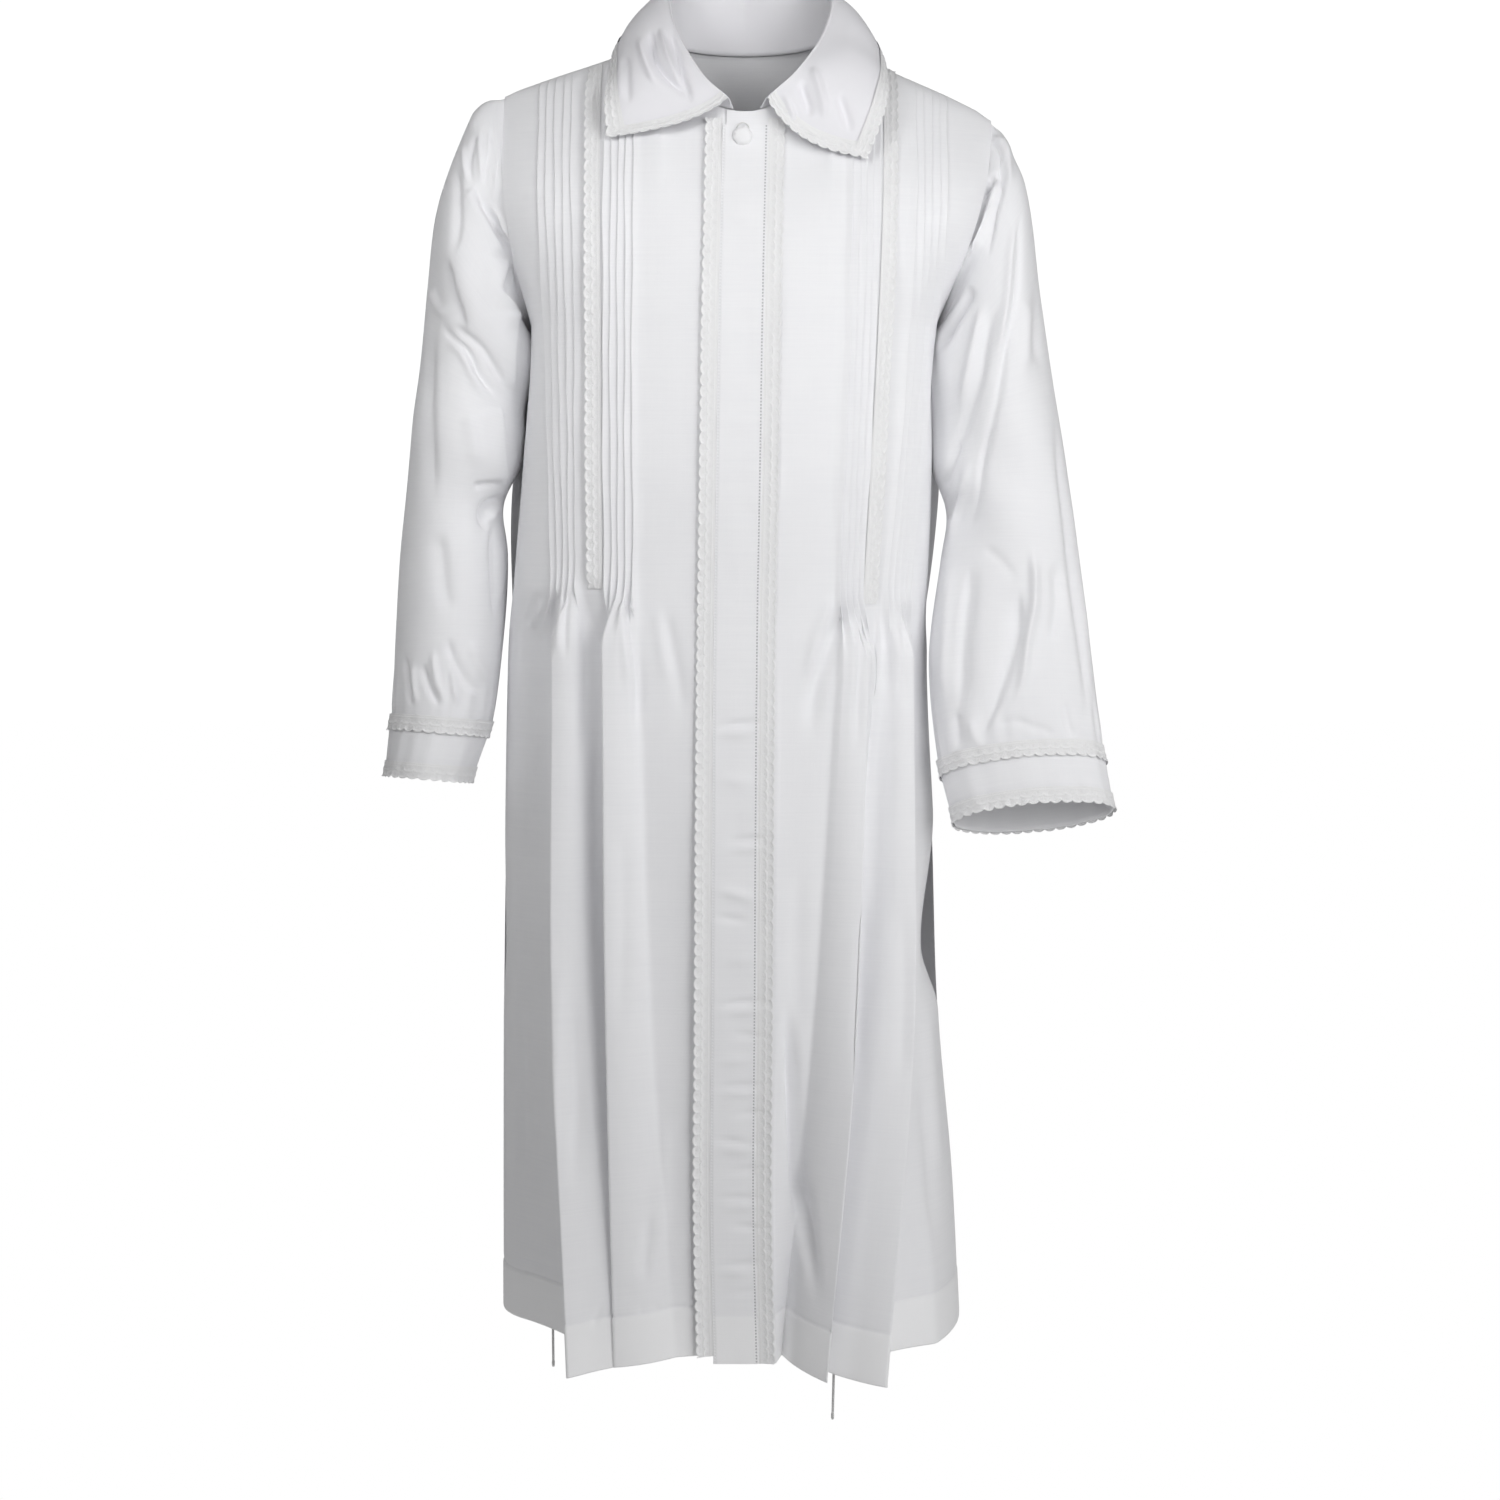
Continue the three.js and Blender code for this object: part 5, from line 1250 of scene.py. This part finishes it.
def sleeve_points(side, ring, turn, grow=0.0):
    """Points of a sleeve's plain form and folds; arrays of rings and turns of one shape."""
    angle = 2 * np.pi * turn
    tilt = np.radians(ring_value(side, "tilt", ring))
    rise = sleeve_rise(side, ring, turn) * ease(ring / 0.9) + grow
    rise = rise + SLEEVE_FILL[side] * bell(ring - 4.0, 2.8) * bell(turn - 0.47, 0.12)
    outwards = (1 + np.cos(angle)) / 2
    in_x, out_x = ring_value(side, "inX", ring), ring_value(side, "outX", ring)
    in_z, out_z = ring_value(side, "inZ", ring), ring_value(side, "outZ", ring)
    forwards = np.sin(angle) * (ring_value(side, "depth", ring) + rise)
    return np.stack([SIGN[side] * (mix(in_x, out_x, outwards) + rise * np.cos(angle)),
                     ring_value(side, "y", ring) - forwards * np.cos(tilt),
                     mix(in_z, out_z, outwards) + forwards * np.sin(tilt)], -1)


SLEEVE_BACK_CREASES = {
    "right": [([(-212, -150), (-232, -176), (-262, -190)], 6, 5, -3.2, 1.7),
              ([(-208, -182), (-234, -206), (-268, -214)], 6, 6, -2.6, 2),
              ([(-206, -214), (-226, -236), (-250, -262)], 6, 6, -2.2, 2),
              ([(-214, -300), (-246, -284), (-288, -282)], 7, 6, -2.4, 2),
              ([(-216, -344), (-248, -330), (-296, -334)], 6, 6, -2.8, 1.8),
              ([(-222, -388), (-252, -372), (-300, -372)], 7, 6, -2.6, 2),
              ([(-224, -420), (-256, -424), (-298, -408)], 6, 6, -2, 2),
              ([(-300, -190), (-304, -260), (-300, -330)], 8, 8, -1.8, 2),
              ([(-270, -450), (-276, -520), (-268, -580)], 9, 8, -2, 2),
              ([(-300, -560), (-296, -590), (-300, -640)], 5, 5, -1.8, 2),
              ([(-276, -575), (-272, -600), (-274, -640)], 5, 4, -1.6, 2)],
    "left": [([(196, -150), (214, -172), (240, -186)], 6, 5, -3.2, 1.7),
             ([(190, -186), (212, -208), (246, -214)], 6, 6, -2.6, 2),
             ([(186, -222), (204, -246), (226, -268)], 6, 6, -2.2, 2),
             ([(186, -306), (218, -292), (258, -296)], 7, 6, -2.4, 2),
             ([(184, -352), (214, -338), (266, -346)], 6, 6, -2.8, 1.8),
             ([(188, -398), (220, -384), (272, -392)], 7, 6, -2.6, 2),
             ([(184, -432), (220, -440), (276, -430)], 6, 6, -2, 2),
             ([(270, -170), (276, -240), (274, -310)], 8, 8, -1.8, 2),
             ([(226, -470), (232, -550), (240, -620)], 9, 8, -2, 2),
             ([(292, -560), (296, -610), (300, -660)], 7, 6, -1.8, 2),
             ([(214, -600), (216, -640), (222, -680)], 5, 5, -1.6, 2)],
}


# Where the cloth of one fold lies over the next: the line, how wide it rises on each side, its height and
# sharpness. Nearly all the places came from the photograph in the same way as those of CREASES.
FLAPS = {
    "right": [([(-250, -113), (-241, -129), (-228, -150), (-216, -177)], 12, 1.3, 4.5, 2),
              ([(-216, -180), (-221, -195), (-222, -207), (-213, -221), (-202, -233)], 14, 1.4, 4.5, 2),
              ([(-211, -224), (-211, -241), (-212, -259), (-213, -277), (-215, -301)], 16, 2.2, 3, 2),
              ([(-226, -312), (-224, -331), (-223, -356), (-221, -389)], 18, 1.6, 4, 2),
              ([(-221, -392), (-235, -399), (-242, -406), (-241, -417)], 2, 3.2, -3.5, 2)],
    "left": [([(231, -101), (221, -121), (218, -133), (205, -157), (192, -183)], 1.3, 12, 4.5, 2),
             ([(256, -130), (250, -157), (244, -205), (237, -262), (224, -338),
               (216, -386)], 1.3, 7, 1.6, 2),
             ([(188, -420), (179, -404), (175, -392)], 3, 5, -2.5, 2)],
}


def sleeve(side):
    rings = np.concatenate([np.linspace(0, 0.9, 30)[:-1], np.linspace(0.9, CUFF_TOP - 0.4, 201)[:-1],
                            np.linspace(CUFF_TOP - 0.4, CUFF_TOP + 0.01, 18)])
    count = 250
    turns = np.arange(count) / count
    ring, turn = np.meshgrid(rings, turns, indexing="ij")
    points = sleeve_points(side, np.maximum(ring, 1.0), turn)
    # From the armhole the cloth runs out smoothly to the first ring.
    arm = armhole_point(side, turns)[None]
    first, second = (sleeve_points(side, np.full((1, count), at), turns[None]) for at in (1.0, 2.0))
    t = np.clip(ring, 0, 1)[..., None]
    start_pull, end_pull = (first - arm), 0.5 * (second - arm)
    hermite = (arm * (2 * t ** 3 - 3 * t ** 2 + 1) + start_pull * (t ** 3 - 2 * t ** 2 + t)
               + first * (3 * t ** 2 - 2 * t ** 3) + end_pull * (t ** 3 - t ** 2))
    points = np.where(ring[..., None] < 1, hermite, points)
    normals = grid_normals(points, closed=True)
    center = points.mean(axis=1, keepdims=True)
    normals *= np.sign((normals * (points - center)).sum())
    front, back = ease((-normals[..., 1] - 0.02) / 0.5), ease((normals[..., 1] - 0.02) / 0.5)
    x, z = points[..., 0], points[..., 2]
    lift = 1.8 * crease_rise(x, z, CREASES[side], sharp=0.72) * front
    lift += crease_rise(x, z, FLAPS[side], (0.12, 0.16)) * front
    lift += crease_rise(x, z, SLEEVE_BACK_CREASES[side]) * back
    swell = waves(ring * 38, turn * 330, (2 if side == "right" else 6, 6), 130.0, 0.8)
    lift += swell * bell(turn - 0.5, 0.44)
    # The sleeve head stands up a little beside the shoulder.
    around = turn * 2 * np.pi
    head = 4.0 if side == "right" else 2.5
    lift += head * bell(ring - 0.6, 0.6) * ((1 + np.cos(around)) / 2) ** 6
    quiet = ease(ring / 0.5)
    # Small gathers where the cloth is taken into the cuff.
    gather = np.sin(around * 23 + 2 * np.sin(around * 4)) * (0.5 + 0.5 * np.sin(around * 3 + 1))
    near_cuff = ease((ring - CUFF_TOP + 0.7) / 0.5) * (1 - 0.6 * ease((ring - CUFF_TOP + 0.15) / 0.15))
    lift += gather * near_cuff
    points = points + normals * (lift * quiet)[..., None]
    grid_object("sleeve_%s_cloth" % side, points, cloth, ["sleeve_" + side], closed=True)


def cuff_wave(turn, ring):
    """How far the cuff's cloth waves in and out."""
    around = turn * 2 * np.pi
    slow = 0.5 * np.sin(around * 9 + 1.3 * np.sin(around * 2))
    return (slow + 0.35 * np.sin(around * 17 + ring * 1.1)) * 0.8


def cuff(side):
    rings = np.concatenate([np.linspace(CUFF_TOP, CUFF_TOP + 0.95, 26), [CUFF_TOP + 0.963, CUFF_TOP + 0.966]])
    inner = np.linspace(CUFF_TOP + 0.96, CUFF_TOP + 0.2, 12)
    turns = np.arange(216) / 216
    ring, turn = np.meshgrid(rings, turns, indexing="ij")
    groove = 0.5 * bell(ring - CUFF_TOP - 0.9, 0.02)
    outside = sleeve_points(side, ring, turn, cuff_wave(turn, ring) + 0.3 - groove)
    ring, turn = np.meshgrid(inner, turns, indexing="ij")
    inside = sleeve_points(side, ring, turn, cuff_wave(turn, ring) - 0.9)
    points = np.concatenate([outside, inside])
    grid_object("cuff_%s_band" % side, points, cloth, ["cuff_" + side], closed=True)


RING_LENGTH = 59.5  # of a cuff along the arm, between two rings, in millimetres


def cuff_lace(side, level, start, end):
    turns = np.linspace(0, 1, 400)
    loop = sleeve_points(side, np.full(len(turns), CUFF_TOP + start), turns)
    length = float(np.linalg.norm(np.diff(loop, axis=0), axis=1).sum())
    arc = lengths_along(loop) / length
    width = (end - start) * RING_LENGTH

    def base(share, along):
        turn = np.interp(along, arc, turns)
        ring = CUFF_TOP + mix(start, end, share)
        ripple = 0.3 * np.sin(along * 2 * np.pi * 31 + 2 * np.sin(along * 40)) * share
        return sleeve_points(side, ring, turn, cuff_wave(turn, ring) + ripple + 0.3)

    def outward(points):
        return points - points.mean(axis=0, keepdims=True)

    name = "cuff_lace_%s_%s" % (level, side)
    lace_piece(name + "_strip", name, base, length, width, 0.7, outward, closed=True, step=0.8)


# ---- Collar ----
def collar_station(side, t):
    roll, edge = curve(COLLAR_AT, COLLAR_ROLL[side], t), curve(COLLAR_AT, COLLAR_EDGE[side], t)
    first = math.asin(COLLAR_START[side] / NECK_HALF)
    front = t <= COLLAR_SIDE
    angle = np.where(front, mix(first, math.pi / 2, t / COLLAR_SIDE),
                     (math.pi / 2) * (1 - (t - COLLAR_SIDE) / (1 - COLLAR_SIDE)))
    x = NECK_HALF * np.sin(angle) * 0.999
    front_y, front_z = top_edge(side, "front", x)
    back_y, back_z = top_edge(side, "back", x)
    seam_z = np.where(front, front_z, back_z) + 1.05
    seam = np.stack([SIGN[side] * x, np.where(front, front_y, back_y), seam_z], -1)
    return seam, roll, edge


def fall_points(side, t, down):
    _, roll, edge = collar_station(side, t)
    away = unit(np.stack([roll[..., 0], roll[..., 1], np.zeros_like(t)], -1))
    start = roll + away * (COLLAR_WALL + 0.35)
    swell, back = 4 * down * (1 - down), ease(t / 0.3)
    p = mix(start, edge, down[..., None]) + away * (COLLAR_BULGE * swell * mix(0.25, 0.8, back))[..., None]
    sag = COLLAR_SAG[side] * (1 - back) * np.sin(np.pi * np.clip(down, 0, 1) ** 0.7)
    p[..., 2] += COLLAR_BULGE * swell * 0.6 * back - sag
    return p


def both_sides(function, t, down):
    """Right half from its front end, then the left half back to its front end."""
    right, left = function("right", t, down), function("left", t, down)
    return np.concatenate([right, left[:, -2::-1]], axis=1)


# The two lines that start at (49, -24) and (83, -36) came from the photograph in the same way.
COLLAR_CREASES = [
    ([(-85, 30), (-84, 12), (-80, -4), (-68, -21), (-53, -36), (-46, -42)], 7, 4, -2.6, 1.6),
    ([(-68, 34), (-62, 10), (-57, -13), (-50, -36), (-48, -50)], 6, 3.5, -2.4, 1.6),
    ([(-77, 32), (-72, 8), (-66, -10), (-57, -24)], 4, 4, 1.6, 2),
    ([(-96, 24), (-92, 4), (-84, -18), (-74, -32)], 6, 5, 1.4, 2),
    ([(-44, 14), (-38, -4), (-30, -22)], 5, 4, -1.2, 2),
    ([(-108, 6), (-106, -20), (-104, -48)], 7, 6, -1.0, 2),
    ([(49, -24), (54, -40), (60, -59)], 6, 7, -2.0, 2),
    ([(60, -10), (68, -34), (74, -62)], 7, 6, 1.6, 2),
    ([(83, -36), (90, -55), (95, -74)], 6, 7, -1.5, 2),
    ([(34, -36), (40, -50), (46, -64)], 4, 4, 1.2, 2),
]


def collar_rise(points, normals):
    facing = ease((-normals[..., 1] - 0.05) / 0.4)
    lift = 2.8 * crease_rise(points[..., 0], points[..., 2], COLLAR_CREASES, sharp=0.55) * facing
    return lift + waves(points[..., 0], points[..., 1] + points[..., 2], (17, 5), 75.0, 0.5)


def outward_of_collar(points):
    return np.stack([points[..., 0], points[..., 1], np.full(points.shape[:-1], 55.0)], -1)


def collar():
    t = np.concatenate([np.linspace(0.012, 0.1, 14)[:-1], np.linspace(0.1, 1, 84)])[None]
    down = np.linspace(0.0, 0.962, 56)[:, None]
    shape = np.ones((56, t.shape[1]))
    fall = both_sides(fall_points, t * shape, down * shape)
    normals = grid_normals(fall)
    normals *= np.sign((normals * outward_of_collar(fall)).sum(-1, keepdims=True))
    quiet = ease(down * np.ones(fall.shape[:2]) / 0.12)
    fall = fall + normals * (collar_rise(fall, normals) * quiet)[..., None]
    # The cloth turns over at the crest into the stand.
    crest = both_sides(lambda side, tt, dd: collar_station(side, tt)[1], t, t * 0)
    turn = np.linspace(0, np.pi, 8)[:-1, None, None]
    over = mix(crest, fall[:1], (1 - np.cos(turn)) / 2) + np.array([0, 0, 1.1]) * np.sin(turn)
    points = np.concatenate([over, fall])
    grid_object("collar_fall", points, collar_cloth_in_painted_shade, ["collar"], solid=-0.7)


def collar_stand():
    t = np.linspace(0, 1, 96)[None]
    share = np.linspace(0, 1, 14)[:, None]

    def stand(side, tt, dd):
        seam, roll, _ = collar_station(side, tt)
        return mix(roll, seam, dd[..., None])

    points = both_sides(stand, t * np.ones((14, 1)), share * np.ones((1, 96)))
    grid_object("collar_band", points, collar_cloth_in_painted_shade, ["collar_stand"], solid=-0.7)


def collar_lace():
    # The strip's outer and inner ends round the whole edge, each as a place along the collar and a place
    # down the fall.
    down = np.linspace(0, 1, 60)
    turn = np.linspace(0, 1, 220)[1:]
    inner_down = np.where(down < 0.66, down, mix(0.66, 0.83, (down - 0.66) / 0.34))
    front_end = [(0.0, d, 0.058, i) for d, i in zip(down, inner_down)]
    edge = [(t, 1.0, 0.058 + t * (0.16 - 0.058) / 0.16 if t < 0.16 else t, 0.83) for t in turn]
    half = np.array(front_end + edge)
    count = len(half)

    def line(side, column):
        return fall_points(side, half[:, column], half[:, column + 1])

    outer = np.concatenate([line("right", 0), line("left", 0)[-2::-1]])
    arc = lengths_along(outer)
    length = float(arc[-1])
    values = np.concatenate([half, half[-2::-1]])

    def base(share, along):
        at = np.interp(along * length, arc, np.arange(len(values)))
        table = [np.interp(at, np.arange(len(values)), values[:, k]) for k in range(4)]
        t, d = mix(table[2], table[0], share), mix(table[3], table[1], share)
        left = at > count - 1
        right_points, left_points = fall_points("right", t, d), fall_points("left", t, d)
        return np.where(left[..., None], left_points, right_points)

    lace_piece("collar_lace_strip", "collar_lace", base, length, COLLAR_LACE_WIDTH, 0.55,
               outward_of_collar)


# ---- Making the pieces ----
for side in ("right", "left"):
    tie_cord(side)
for side in ("right", "left"):
    front_panel(side)
back_panel()
placket()
button()
for side in ("right", "left"):
    placket_lace(side)
    tuck_lace(side)
    sleeve(side)
    cuff(side)
    cuff_lace(side, "upper", 0.0, 0.27)
    cuff_lace(side, "lower", 0.74, 1.0)
collar()
collar_stand()
collar_lace()

# ---- Studio: pale floor, white surroundings, soft key light from the wearer's left ----
FLOOR_GLOW, FLOOR_HEIGHT = 0.3, -1.62


def shown_to_camera(tree, lit, shown, output):
    """The camera sees the shader shown, and all other rays meet the shader lit."""
    ray = tree.nodes.new("ShaderNodeLightPath")
    choose = tree.nodes.new("ShaderNodeMixShader")
    tree.links.new(ray.outputs["Is Camera Ray"], choose.inputs[0])
    tree.links.new(lit.outputs[0], choose.inputs[1])
    tree.links.new(shown.outputs[0], choose.inputs[2])
    tree.links.new(choose.outputs[0], tree.nodes[output].inputs["Surface"])


floor_mesh = bpy.data.meshes.new("floor")
corners = [(x, y, FLOOR_HEIGHT) for x, y in ((-6, -0.9), (6, -0.9), (6, 12), (-6, 12))]
floor_mesh.from_pydata(corners, [], [(0, 1, 2, 3)])
floor = bpy.data.objects.new("floor", floor_mesh)
bpy.context.scene.collection.objects.link(floor)
floor_paint = bpy.data.materials.new("pale floor")
floor_paint.use_nodes = True
floor_tree = floor_paint.node_tree
floor_shader = floor_tree.nodes["Principled BSDF"]
floor_shader.inputs["Base Color"].default_value = (0.9, 0.9, 0.9, 1)
floor_shader.inputs["Roughness"].default_value = 0.9
floor_shader.inputs["Emission Color"].default_value = (1, 1, 1, 1)
floor_shader.inputs["Emission Strength"].default_value = FLOOR_GLOW
floor_glare = floor_tree.nodes.new("ShaderNodeEmission")
shown_to_camera(floor_tree, floor_shader, floor_glare, "Material Output")
floor.data.materials.append(floor_paint)

world = bpy.data.worlds.new("studio")
bpy.context.scene.world = world
world.use_nodes = True
sky = world.node_tree
background = sky.nodes["Background"]
background.inputs["Color"].default_value = (1.0, 1.0, 1.0, 1.0)
background.inputs["Strength"].default_value = 0.1
bright = sky.nodes.new("ShaderNodeBackground")
bright.inputs["Color"].default_value = (1.0, 1.0, 1.0, 1.0)
bright.inputs["Strength"].default_value = 1.05
shown_to_camera(sky, background, bright, "World Output")


def soft_light(name, place, target, size, power, spread=180):
    data = bpy.data.lights.new(name, "AREA")
    data.shape = "RECTANGLE"
    data.size, data.size_y = size
    data.energy = power
    data.spread = math.radians(spread)
    lamp = bpy.data.objects.new(name, data)
    bpy.context.scene.collection.objects.link(lamp)
    lamp.location = place
    toward = np.array(target) - np.array(place)
    lamp.rotation_mode = "QUATERNION"
    lamp.rotation_quaternion = Vector(toward.tolist()).to_track_quat("-Z", "Y")


# The lamps' places were chosen. Their powers follow a fit to the photograph's brightness: three are as
# the fit gave them, and four differ from it a little. Right and left are those of the picture.
soft_light("front right", (0.9, -1.9, -0.2), (0.0, 0.0, -0.3), (0.8, 1.4), 12.9)
soft_light("right", (1.4, -1.0, -0.2), (0.0, 0.0, -0.4), (1.0, 1.4), 4.4)
soft_light("upper right", (1.1, -1.2, 0.3), (0.0, 0.0, -0.3), (1.0, 1.0), 4.6)
soft_light("above", (0.6, -1.4, 0.55), (0.0, 0.0, -0.3), (1.0, 1.0), 2.2)
soft_light("upper left", (-0.6, -1.4, 0.55), (0.0, 0.0, -0.3), (1.0, 1.0), 4.4)
soft_light("chest fill", (-0.9, -1.4, 0.35), (-0.12, -0.1, -0.22), (0.5, 0.5), 0.65, 55)
soft_light("far left", (-3.0, -0.4, 0.4), (0.0, 0.0, -0.5), (1.4, 1.8), 6.7)

bpy.context.scene.view_settings.view_transform = "Standard"
